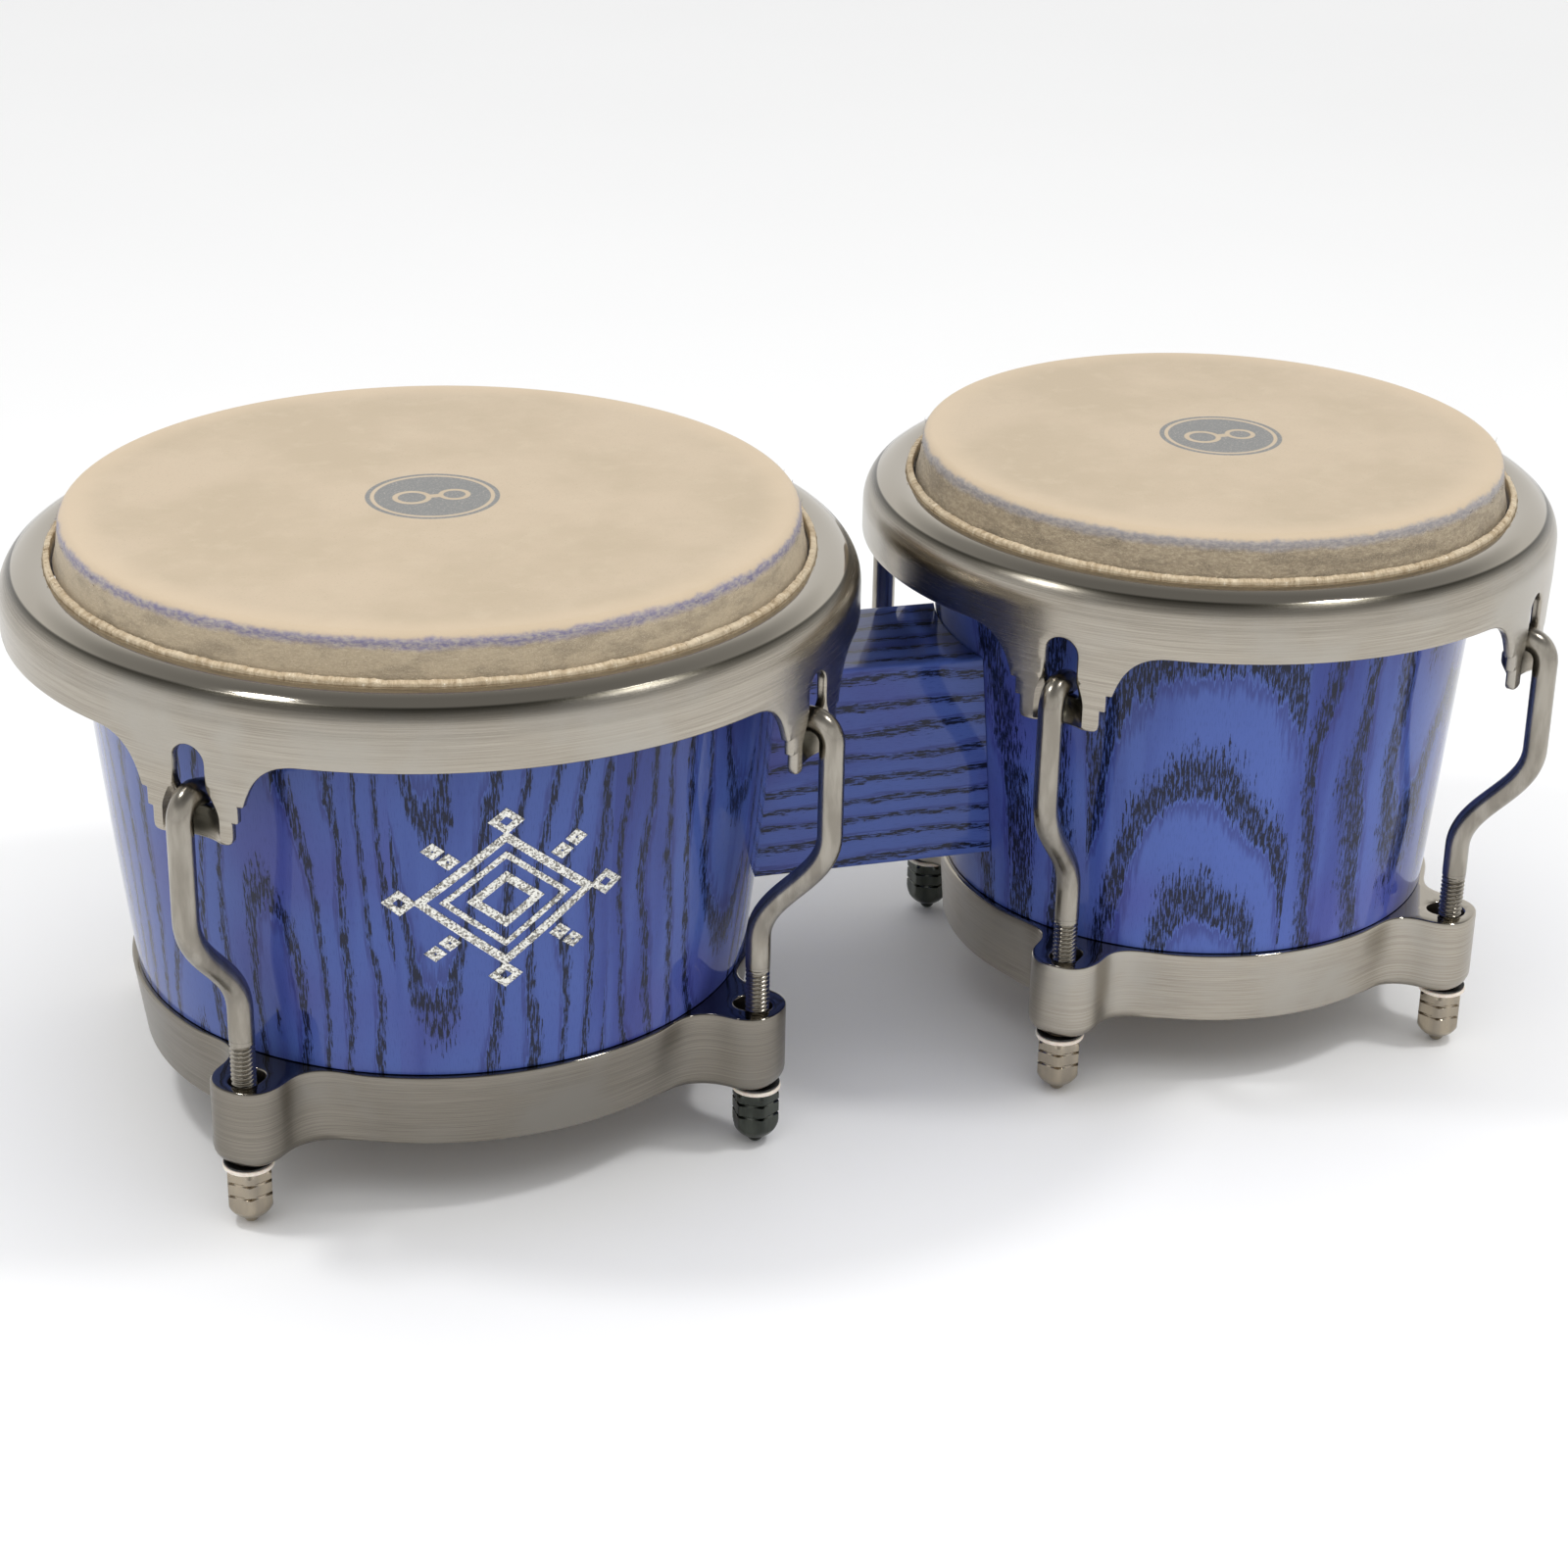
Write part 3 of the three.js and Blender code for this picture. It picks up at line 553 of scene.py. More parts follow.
def rawhide(drum):
    """The skin: sandy on top, a warm halo, a grey or violet line at the bearing edge, a mottled collar."""
    s = Shader(f"{drum.name}_rawhide")
    around = s.around(0.012)
    cloud = s.noise(s.place, 0.022, 4.0, 0.6)
    blotch = s.noise(s.place, 0.12, 3.0, 0.6)
    sand = s.noise(s.place, 1.6, 3.0, 0.7)
    top = s.mix(s.fade(cloud, 0.35, 0.65), rgb(0.490, 0.393, 0.279), rgb(0.437, 0.350, 0.241))
    top = s.mix(s.times(s.fade(blotch, 0.5, 0.72), 0.4), top, rgb(0.51, 0.42, 0.30))
    top = s.mix(s.fade(sand, 0.56, 0.72), top, rgb(0.40, 0.32, 0.22))
    uneven = s.times(s.minus(s.noise(around, 6.0, 4.0), 0.5), 5.0)
    from_edge = s.plus(s.minus(drum.head, s.length(s.x, s.y)), uneven)
    top = s.mix(s.times(s.fade(from_edge, 14.0, 3.0), 0.65), top, rgb(0.550, 0.437, 0.305))
    depth = s.minus(drum.top, s.z)
    ragged = s.times(s.minus(s.noise(around, 16.0, 5.0, 0.7), 0.5), 3.4)
    low = s.plus(depth, ragged)
    flecks = s.noise(s.stretch(s.place, 0.5, 0.5, 1.1), 1.0, 4.0, 0.7)
    stains = s.noise(s.stretch(s.place, 0.07, 0.07, 0.20), 1.0, 5.0, 0.65)
    line = s.mix(s.fade(flecks, 0.34, 0.70), BEARING_LINE[drum.name], rgb(0.40, 0.36, 0.33))
    tan = COLLAR[drum.name]
    collar = s.mix(s.fade(flecks, 0.35, 0.70, 0.0, 0.6), tan, rgb(0.50, 0.415, 0.285))
    collar = s.mix(s.fade(stains, 0.44, 0.66, 0.0, 0.7), collar, rgb(*(0.62 * part for part in tan[:3])))
    hairs = s.noise(s.stretch(s.place, 0.9, 0.9, 2.2), 1.0, 2.0, 0.5, 1.5)
    thread = s.times(s.fade(s.math("ABSOLUTE", s.minus(hairs, 0.5)), 0.022, 0.006), 0.6)
    collar = s.mix(thread, collar, rgb(0.72, 0.62, 0.46))
    colour = s.mix(s.fade(low, 0.8, 2.2), top, line)
    colour = s.mix(s.fade(low, 3.2, 5.4), colour, collar)
    colour = badge_print(s, sand, colour, *BADGES[drum.name])
    rough = s.times(flecks, s.fade(depth, 1.0, 5.0))
    s.bump(s.math("MULTIPLY_ADD", sand, 0.35, rough), 0.22, 0.7)
    return s.finish(Base_Color=colour, Roughness=0.62, Sheen_Weight=0.15, Sheen_Roughness=0.4)


def badge_print(s, sand, colour, aside, radius):
    """A plain medallion printed on the head: a ring around a pair of drums seen from above."""
    x = s.minus(s.x, aside)

    def disc(across, size):
        return s.fade(s.length(s.minus(x, across), s.y), size + 0.18, size - 0.18)

    medal = disc(0.0, radius)
    line = s.minus(disc(0.0, radius - 1.5), disc(0.0, radius - 2.7))
    narrow = s.fade(s.math("ABSOLUTE", s.y), 1.5, 1.2)
    bar = s.times(narrow, s.fade(s.math("ABSOLUTE", x), 3.2, 2.9))
    pair = s.math("MAXIMUM", s.math("MAXIMUM", disc(-6.2, 5.8), disc(6.6, 4.8)), bar)
    inner = s.math("MAXIMUM", disc(-6.2, 4.2), disc(6.6, 3.3))
    cream = s.math("MAXIMUM", line, s.minus(pair, inner))
    ink = s.mix(s.fade(sand, 0.50, 0.72), rgb(0.150, 0.160, 0.165), rgb(0.33, 0.31, 0.28))
    printed = s.times(medal, s.minus(1.0, s.math("MINIMUM", cream, 1.0)))
    return s.mix(s.times(printed, 0.92), colour, ink)


def cut_edge():
    """The rough edge of the skin rolled over the flesh hoop: cream and brown, pleated, fibrous, with painted
    highlights on the pleats' crests and painted shade in their grooves and below the hoop's top.
    """
    s = Shader("cut_skin_edge")
    around = s.around(0.006)
    pleat = s.noise(around, 60.0, 6.0, 0.85, 0.4)
    patch = s.noise(around, 7.0, 3.0)
    colour = s.mix(s.fade(pleat, 0.40, 0.62), rgb(0.420, 0.320, 0.200), rgb(0.640, 0.530, 0.370))
    colour = s.mix(s.times(s.fade(patch, 0.45, 0.65), 0.5), colour, rgb(0.70, 0.60, 0.44))
    # Painted highlight: near-white on the pleats' crests.
    colour = s.mix(s.fade(pleat, 0.60, 0.66), colour, rgb(0.92, 0.86, 0.74))
    # Painted shade: dark brown in the pleats' grooves.
    colour = s.mix(s.fade(pleat, 0.40, 0.34), colour, rgb(0.20, 0.14, 0.08))
    # Painted shade: darker below the hoop's top, where it lies inside the rim's roll.
    colour = s.mix(s.fade(s.z, HOOP["top"] + 1.0, HOOP["top"] - 2.0), colour, rgb(0.17, 0.13, 0.09))
    s.bump(pleat, 0.5, 0.8)
    return s.finish(Base_Color=colour, Roughness=0.75)


def nylon():
    s = Shader("nylon_washer")
    cloud = s.noise(s.place, 0.4, 3.0)
    colour = s.mix(s.fade(cloud, 0.4, 0.65), rgb(0.80, 0.70, 0.60), rgb(0.88, 0.80, 0.71))
    s.bump(s.noise(s.place, 2.5, 3.0), 0.05, 0.3)
    return s.finish(Base_Color=colour, Roughness=0.42, Subsurface_Weight=0.1, Subsurface_Scale=0.002)


def glitter():
    """Silver flakes in clear lacquer: each cell gets a painted brightness from dark grey to near white,
    painted glints and dark reflections in place of tilted flakes, and its own roughness.
    """
    s = Shader("silver_glitter")
    flakes = s.node("TexVoronoi", {"Vector": s.place, "Scale": 1.9})
    tone = s.node("SeparateColor", {0: flakes.outputs["Color"]}).outputs[0]
    # Painted glints and dark reflections: each flake cell's colour runs from dark grey to near white.
    colour = s.mix(s.fade(tone, 0.1, 0.75), rgb(0.22, 0.21, 0.19), rgb(0.93, 0.92, 0.86))
    s.bump(tone, 0.5, 1.0)
    return s.finish(Base_Color=colour, Metallic=0.75, Roughness=s.math("MULTIPLY_ADD", tone, 0.3, 0.18))


# ---------- sub-parts ----------
def shell_shape(drum):
    taper = [(drum.shell(z), z) for z in np.linspace(SHELL_FULL, RING_TOP + GAP, 26)[:-1]]
    edge_top = drum.top - SKIN - GAP
    head = drum.head - SHELL_INSET
    low = 60
    outer = fillet([(drum.shell(SHELL_FULL), SHELL_FULL, 0), (head, edge_top, 3.0),
                    (head - SHELL_WALL, edge_top - 4, 1.5),
                    (drum.shell(SHELL_MIDDLE) - SHELL_WALL, SHELL_MIDDLE, 0)], 6, False)
    step, seat = drum.shell(RING_TOP), RING_TOP + GAP
    foot = fillet([(step, seat + 4, 0), (step, seat, 0.15), (step - REBATE, seat, 0),
                   (drum.foot - REBATE, SHELL_BOTTOM, 1.0), (drum.foot - SHELL_WALL, SHELL_BOTTOM, 1.5),
                   (drum.shell(low) - SHELL_WALL, low, 0)], 4, False)
    inner = [(drum.shell(z) - SHELL_WALL, z) for z in np.linspace(low, SHELL_MIDDLE, 8)[1:-1]]
    profile = np.vstack([foot[1:], inner, outer[::-1], taper[1:]])
    return revolve(Shape(), profile, 4 * COLUMNS)


def ripple(angles, seed, waves):
    """A smooth random wave around a circle, between about -1 and 1."""
    draw = random.Random(seed)
    total = np.zeros_like(angles)
    weight = 0.0
    for cycles, size in waves:
        total += size * np.sin(cycles * angles + draw.uniform(0, 2 * math.pi))
        weight += size
    return total / weight


def skin_shape(drum, seed):
    edge, top = drum.head, drum.top
    foot = top - COLLAR_DROP
    crown = arc(edge - 3.0, top - 3.2, 3.2, 90, 5, 8)
    flat = [(r, top) for r in np.linspace(0, edge - 6, 15)]
    collar = bezier((edge + 0.15, top - 3.4), (edge + 0.9, top - 7), (edge + 0.6, top - 10),
                    (edge + COLLAR_FLARE, foot), 12)
    under = bezier((edge + COLLAR_FLARE - SKIN, foot), (edge - 0.6, top - 10), (edge - 0.3, top - 7),
                   (edge - SKIN, top - 4), 6)
    inner = [(edge - 3.4, top - SKIN), (0, top - SKIN)]
    profile = np.vstack([flat, crown, collar, under, inner])
    waves = [(n, 1 / n ** 0.5) for n in (5, 9, 17, 31, 43, 67, 89, 120)]

    def uneven(radii, angles):
        drop = top - profile[:, 1:]
        amount = smooth(drop, 2.5, 8.0) * 0.28 + smooth(drop, 0.5, 3.0) * 0.10
        return radii + amount * ripple(angles, seed, waves)

    shape = revolve(Shape(), profile, 4 * COLUMNS, closed=False, reach=uneven)
    fibres(shape, random.Random(seed + 1), 170, edge + 0.55, top - 4.0, 2.4, 1.3)
    return shape


def fibres(shape, draw, count, radius, height, length, spread):
    """Short curling hairs that stand off a turned surface."""
    for _ in range(count):
        angle = draw.uniform(0, 2 * math.pi)
        size = draw.uniform(0.4, 1.0) * length
        turn = draw.uniform(-1.2, 1.2)
        lift = draw.uniform(-0.6, 0.6)
        z = height + draw.uniform(-spread, spread)
        thick = draw.uniform(0.07, 0.13)
        rows = []
        for t in np.linspace(0, 1, 5):
            side = size * (math.sin(turn) * t + 0.3 * math.sin(3 * t + turn))
            out = radius - 0.25 + 0.75 * math.sin(math.pi * min(t * 0.75, 1)) * size * 0.4
            a = angle + side / radius
            rise = z + size * (lift * t + 0.35 * t * t)
            across = thick * (1 - t) ** 0.6
            ring = []
            for b in (0, 2 * math.pi / 3, 4 * math.pi / 3):
                far = out + across * math.cos(b)
                ring.append((far * math.cos(a), far * math.sin(a), rise + across * math.sin(b)))
            rows.append(ring)
        shape.grid(np.array(rows), wrap=True)


def hoop_shape(drum, seed):
    """The flesh hoop with the skin's cut edge rolled over it and standing above."""
    inner = drum.head + COLLAR_FLARE + 2 * GAP
    outer = inner + HOOP["radial"]
    lip = inner + HOOP["lip"]
    top = HOOP["lip_top"]
    profile = fillet([(inner, HOOP["bottom"], 2.0), (outer, HOOP["bottom"], 2.6), (outer, HOOP["top"], 2.2),
                      (lip + 1.2, HOOP["top"] + 0.6, 1.5), (lip + 0.5, top - 0.7, 0.8),
                      (inner + 0.2, top, 0.7)], 4)
    profile = resample(np.vstack([profile, profile[:1]]), 0.9)
    waves = [(n, 1 / n ** 0.2) for n in (7, 19, 41, 73, 97, 131, 173, 227, 263, 311, 353)]
    a = np.linspace(0, 2 * math.pi, 10 * COLUMNS, endpoint=False)[None, :]
    high = smooth(profile[:, 1:], HOOP["top"], top)
    r = np.repeat(profile[:, :1], a.size, 1)
    r += (r > inner + 0.4) * 0.36 * ripple(a, seed, waves) * (0.3 + high)
    z = profile[:, 1:] + 0.60 * high * (ripple(a, seed + 5, waves) - 0.5)
    shape = Shape()
    shape.grid(np.stack([r * np.cos(a), r * np.sin(a), z], -1), wrap=True)
    fibres(shape, random.Random(seed + 2), 260, lip, top - 0.6, 1.9, 0.8)
    return shape


def scoop_half(drum, z):
    """Half the width of the scoop at a height."""
    return SLOT["half"] + (SCOOP["half"][drum.name] - SLOT["half"]) * smooth(z, SCOOP["start"], SCOOP["full"])


def scoop(drum, u, z):
    """How far the rim is pressed in around the foot of a tab's slot."""
    depth = SCOOP["depth"] * smooth(z, SCOOP["start"], SCOOP["full"])
    depth = depth * (1 - 0.55 * smooth(z, TAB["bottom"] + 5, TAB["bottom"] - 0.5))
    inward = np.clip(np.abs(u) / scoop_half(drum, z), 0, 1)
    return depth * np.cos(inward * math.pi / 2) ** 0.8


def tab_path(half_arc):
    """Lower edge of the rim along one lug's arc: band, ogee, two steps, tab and back."""
    t = TAB
    sides = [t["half"] + 2 * t["step"], t["half"] + t["step"], t["half"]]
    second = t["step_top"] - t["step_drop"]
    shoulder = (t["shoulder"], BAND_BOTTOM)
    curve = bezier(shoulder, (t["ogee"] + 3, BAND_BOTTOM), (t["ogee"] - 2, BAND_BOTTOM - 4),
                   (sides[0], t["step_top"]), 12)
    steps = fillet([(*curve[-2], 0), (sides[0], t["step_top"], 0.5), (sides[1], t["step_top"], 0.4),
                    (sides[1], second, 0.5), (sides[2], second, 0.4), (sides[2], t["bottom"], t["corner"]),
                    (0, t["bottom"] - t["bow"], 0)], 3, False)
    band = np.column_stack([np.linspace(half_arc, t["shoulder"], 26), np.full(26, BAND_BOTTOM)])
    right = np.vstack([band[:-1], curve[:-1], resample(steps[1:], 1.6)])
    left = right[::-1][1:] * [-1, 1]
    return np.vstack([right, left])[::-1]


def slot_loop():
    half, arch = SLOT["half"], SLOT["top"] - SLOT["half"]
    sides = fillet([(-half, arch, 0), (-half, SLOT["bottom"], SLOT["corner"]),
                    (half, SLOT["bottom"], SLOT["corner"]), (half, arch, 0)], 4, False)
    return np.vstack([resample(sides, 1.0), arc(0, arch, half, 0, 180, 18)[1:-1]])


def rim_shape(drum):
    """Formed steel: a rolled top, and a band with four slotted tabs."""
    radius = drum.rim
    half_arc = radius * SECTOR
    columns = np.linspace(-half_arc, half_arc, COLUMNS + 1)
    centre = radius - ROLL
    outer = arc(centre, ROLL_HEIGHT, ROLL, 0, ROLL_END, 18)
    end = np.radians(ROLL_END)
    middle = ROLL - PLATE / 2
    lip = arc(centre + middle * math.cos(end), ROLL_HEIGHT + middle * math.sin(end), PLATE / 2,
              ROLL_END, ROLL_END + 180, 8)[1:-1]
    inner = arc(centre, ROLL_HEIGHT, ROLL - PLATE, ROLL_END, 0, 14)
    roll = np.vstack([outer, lip, inner])

    path = tab_path(half_arc)
    slot = slot_loop()
    lean, hollow = mitres(path, False), -mitres(slot, True)
    face_edge = path + PLATE_EDGE * lean
    hole_edge = slot + PLATE_EDGE * hollow
    up = np.linspace(BAND_BOTTOM + PLATE_EDGE, ROLL_HEIGHT, 5)[1:-1]
    right = np.column_stack([np.full(len(up), half_arc), up])
    top = np.column_stack([columns[::-1], np.full(len(columns), ROLL_HEIGHT)])
    loop = np.vstack([face_edge, right, top, right[::-1] * [-1, 1]])
    crease_z = np.linspace(SCOOP["start"] - 0.5, TAB["bottom"] + 1, 26)
    crease_u = scoop_half(drum, crease_z)
    dish_half = SCOOP["half"][drum.name]
    crease = np.vstack([np.column_stack([crease_u, crease_z]), np.column_stack([-crease_u, crease_z])])
    band = np.stack(np.meshgrid(columns[1:-1], up), -1).reshape(-1, 2)
    band = band[np.abs(band[:, 0]) > TAB["shoulder"] + 1]
    tab = lattice((-TAB["shoulder"], TAB["shoulder"]), (TAB["bottom"], ROLL_HEIGHT), 1.9)
    tab = tab[(np.abs(tab[:, 0]) > dish_half + 1) | (tab[:, 1] > SCOOP["start"] + 1)]
    dish = lattice((-dish_half - 0.8, dish_half + 0.8), (TAB["bottom"], SCOOP["start"] + 0.8), 0.8)
    far = np.abs(dish[:, None] - crease).max(2).min(1) > 0.45
    flat, faces = triangulate(loop, hole_edge, [(band, 1.0), (tab, 0.9), (dish[far], 0.4), (crease, 0.25)])

    shape = Shape()
    for lug in drum.lugs.values():
        def bend(u, z, depth):
            a = u / radius + lug
            r = radius - depth - scoop(drum, u, z)
            return np.stack([r * np.cos(a), r * np.sin(a), z + 0 * r], -1)

        a = columns / radius + lug
        shape.grid(np.stack([roll[:, :1] * np.cos(a), roll[:, :1] * np.sin(a), roll[:, 1:] + 0 * a], -1))
        for depth in (0, PLATE):
            shape.add(bend(flat[:, 0], flat[:, 1], depth), faces)
        for line, side, closed in ((path, lean, False), (slot, hollow, True)):
            rows = [line + inset * side for inset, _ in edge_rows(PLATE_EDGE, PLATE)]
            depths = [depth for _, depth in edge_rows(PLATE_EDGE, PLATE)]
            shape.grid(np.stack([bend(row[:, 0], row[:, 1], d) for row, d in zip(rows, depths)]), wrap=closed)
    return shape


def ear_outline(drum):
    """Plan of the ring's outside along one lug's arc, pointing along +X, with its outward normals."""
    ring = drum.ring(RING_BOTTOM)
    tip = drum.rod + EAR_OVERHANG
    corner = EAR_CORNER
    nose = bezier((tip, 0), (tip, EAR_HALF * 0.55), (tip - corner * 0.35, EAR_HALF),
                  (tip - corner * 1.5, EAR_HALF), 12)
    run = EAR_RUNOUT
    join = np.array([math.sqrt(ring ** 2 - run ** 2), run])
    along = np.array([-join[1], join[0]]) / ring
    flank = bezier(nose[-1], nose[-1] - [9.5, 0], join - along * 12.5, join, 18)
    start = math.atan2(run, join[0])
    rest = arc(0, 0, ring, math.degrees(start), 45, 20)
    right = np.vstack([nose, flank[1:], rest[1:]])
    path = np.vstack([(right * [1, -1])[::-1], right[1:]])
    normal = -mitres(path, False)
    on_ring = np.abs(path[:, 1]) >= run - 1e-6
    normal[on_ring] = path[on_ring] / ring
    return path, normal


def bottom_ring_shape(drum):
    """Cast ring with four ears: smooth in plan and in elevation, each ear with its oblong hole."""
    path, normal = ear_outline(drum)
    taper = (drum.shell(RING_TOP) - drum.shell(RING_BOTTOM)) / (RING_TOP - RING_BOTTOM)
    ear = 1 - smooth(np.abs(path[:, 1]), 9, EAR_RUNOUT + 2)
    seat = drum.shell(RING_TOP) - REBATE + GAP
    ledge = drum.shell(SHELL_BOTTOM) - REBATE + GAP
    bore = drum.foot - RING_LIP

    def bottom_height(p):
        return RING_BOTTOM - (RING_BOTTOM - EAR_BOTTOM) * (1 - smooth(np.abs(p[..., 1]), 8, EAR_RUNOUT))

    wide = taper * (RING_TOP - RING_BOTTOM) * (1 - ear)
    foot_edge = RING_EDGE + (EAR_FOOT_EDGE - RING_EDGE) * smooth(ear, 0.15, 0.9)
    top_path = path + normal * (wide - RING_EDGE)[:, None]
    foot_path = path - normal * foot_edge[:, None]
    foot_z = bottom_height(foot_path)
    rows = []
    for a in np.radians(np.linspace(90, 0, 5)):
        out = wide + RING_EDGE * (math.cos(a) - 1)
        rows.append((path + normal * out[:, None], RING_TOP - RING_EDGE * (1 - math.sin(a)) + 0 * wide))
    high, low = RING_TOP - RING_EDGE, foot_z + foot_edge
    for t in np.linspace(0, 1, 8)[1:-1]:
        rows.append((path + normal * (wide * (1 - t))[:, None], high * (1 - t) + low * t))
    for a in np.radians(np.linspace(0, -90, 7)):
        out = foot_edge * (math.cos(a) - 1)
        rows.append((path + normal * out[:, None], low + foot_edge * math.sin(a)))
    wall = np.stack([np.column_stack([p, z]) for p, z in rows])

    half = EAR_SLOT["width"] / 2
    hole = np.vstack([arc(drum.rod + EAR_SLOT["outward"] - half, 0, half, -90, 90, 14),
                      arc(drum.rod - EAR_SLOT["inward"] + half, 0, half, 90, 270, 14)])
    spread = -mitres(hole, True)
    hole_edge = hole + EAR_SLOT["edge"] * spread
    hole_rows = []
    for inset, depth in edge_rows(EAR_SLOT["edge"], RING_TOP - EAR_BOTTOM):
        at = hole + inset * spread
        hole_rows.append(np.column_stack([at, np.full(len(at), RING_TOP - depth)]))
    hole_wall = np.stack(hole_rows)

    a = np.linspace(-SECTOR, SECTOR, COLUMNS + 1)
    circle = np.column_stack([np.cos(a), np.sin(a)])
    ear_points = lattice((drum.ring(RING_TOP) - 2, drum.rod + EAR_OVERHANG), (-EAR_RUNOUT, EAR_RUNOUT), 2.0)
    top_loop = np.vstack([top_path, circle[::-1] * seat])
    top_flat, top_faces = triangulate(top_loop, hole_edge, [(ear_points, 0.8)])
    foot_loop = np.vstack([foot_path, circle[::-1] * bore])
    strip = np.vstack([circle * r for r in np.linspace(bore, drum.ring(RING_BOTTOM), 5)[1:-1]])
    foot_flat, foot_faces = triangulate(foot_loop, hole_edge, [(strip, 0.9), (ear_points, 0.8)])

    def column(radius, heights):
        p = circle * radius
        return np.column_stack([p, heights(p) if callable(heights) else np.full(len(p), heights)])

    bowl = np.stack([column(seat, RING_TOP), column(ledge, SHELL_BOTTOM - GAP),
                     column(bore, SHELL_BOTTOM - GAP), column(bore, bottom_height)])
    shape = Shape()
    for lug in drum.lugs.values():
        turn = rotation(lug)
        shape.grid(wall @ turn)
        shape.grid(hole_wall @ turn, wrap=True)
        shape.grid(bowl @ turn)
        shape.add(np.column_stack([top_flat, np.full(len(top_flat), RING_TOP)]) @ turn, top_faces)
        shape.add(np.column_stack([foot_flat, bottom_height(foot_flat)]) @ turn, foot_faces)
    return shape


def hook_shape(drum, lug):
    """One hook rod: rolled thread, foot, S-bend, straight, and the hook through the tab's slot."""
    foot, high = drum.rod, drum.rim + BEND["stand_off"]
    start, finish, ease = BEND["start"], BEND["end"], BEND["ease"]
    turn = BEND["top"] - BEND["roll"]
    bend = bezier((foot, start), (foot, start + ease), (high, finish - ease), (high, finish), 36)
    over = bezier((high, turn), (high, turn + BEND["roll"] * 0.6), (high - BEND["roll"] * 0.4, BEND["top"]),
                  (high - BEND["roll"], BEND["top"]), 12)
    end = np.array([drum.rim - BEND["reach"], BEND["top"] - BEND["droop"]])
    path = resample(np.vstack([[(foot, THREAD["shoulder"])], bend, over[1:], [end]]), 3.0)
    step = np.gradient(path, axis=0)
    step /= np.linalg.norm(step, axis=1)[:, None]
    sides = 28
    a = np.linspace(0, 2 * math.pi, sides, endpoint=False)
    tip = path[-1] + step[-1] * 0.6
    rows = np.vstack([path, tip, tip])
    step = np.vstack([step, step[-1:], step[-1:]])
    size = np.append(np.full(len(path), ROD), (ROD - 0.6, 0))
    tube = np.stack([rows[:, :1] + size[:, None] * step[:, 1:] * np.cos(a),
                     size[:, None] * np.sin(a),
                     rows[:, 1:] - size[:, None] * step[:, :1] * np.cos(a)], -1)

    bottom, top = THREAD["bottom"], THREAD["top"]
    z = np.arange(bottom, top, THREAD["pitch"] / 8)
    phase = z[:, None] / THREAD["pitch"] - a[None] / (2 * math.pi)
    cut = (0.5 - 0.5 * np.cos(2 * math.pi * phase)) ** 0.8 * THREAD["depth"]
    run_out = smooth(z, top, top - 1.6) * smooth(z, bottom, bottom + 1.2)
    radius = THREAD["radius"] - cut * run_out[:, None]
    neck_z = np.array([top, top + 0.5, THREAD["shoulder"] - 0.9, THREAD["shoulder"]])
    neck = np.repeat(np.array([[THREAD["radius"]], [THREAD["radius"]], [ROD - 0.15], [ROD]]), sides, 1)
    z = np.concatenate([z, neck_z])
    radius = np.vstack([radius, neck])
    radius[0] = 0
    screw = np.stack([foot + radius * np.cos(a), radius * np.sin(a), np.repeat(z[:, None], sides, 1)], -1)
    shape = Shape()
    shape.grid(np.vstack([screw, tube[1:]]) @ rotation(lug), wrap=True)
    return shape


def nut_shape(drum, lug, turn):
    """Domed hexagon nut with two grooves turned around its corners, and a nub on the dome."""
    corner, top, groove = NUT["corner"], NUT["top"], NUT["groove"]
    flat = corner * math.cos(math.pi / 6)
    dome = np.vstack([[(0, 0)], bezier((0, 0), (1.3, 0), (2.0, 0.4), (2.5, 1.7), 6)[1:],
                      bezier((2.5, 1.7), (2.7, 2.5), (3.2, 2.4), (3.9, 2.8), 4)[1:],
                      bezier((3.9, 2.8), (5.4, 3.7), (6.9, 5.2), (corner, 8.4), 8)[1:]])
    side = []
    for z in NUT["grooves"]:
        side += [(corner, z - 0.5), (corner - groove, z - 0.12)]
        side += [(corner - groove, z + 0.12), (corner, z + 0.5)]
    cap = [(corner, top - 1.1), (corner - 0.9, top - 0.15), (corner - 1.3, top), (NUT["bore"] + 0.6, top),
           (NUT["bore"], top - 0.6), (NUT["bore"], NUT["floor"]), (0, NUT["floor"])]
    profile = np.vstack([dome, side, cap])

    def hexagon(radii, angles):
        away = (angles + math.pi / 6) % (math.pi / 3) - math.pi / 6
        return np.minimum(radii, np.minimum(flat / np.cos(away), corner - 0.1))

    return at_rod(revolve(Shape(), profile, 72, closed=False, reach=hexagon), drum, lug, turn)


def washer_shape(drum, lug, node, edge):
    low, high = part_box(node)
    radius = (high.y - low.y) / 2 / MM
    bottom, top = low.z / MM, high.z / MM
    profile = fillet([(radius, bottom, edge), (radius, top, edge), (4.0, top, 0.2), (4.0, bottom, 0.2)], 4)
    return at_rod(revolve(Shape(), profile, 56), drum, lug)


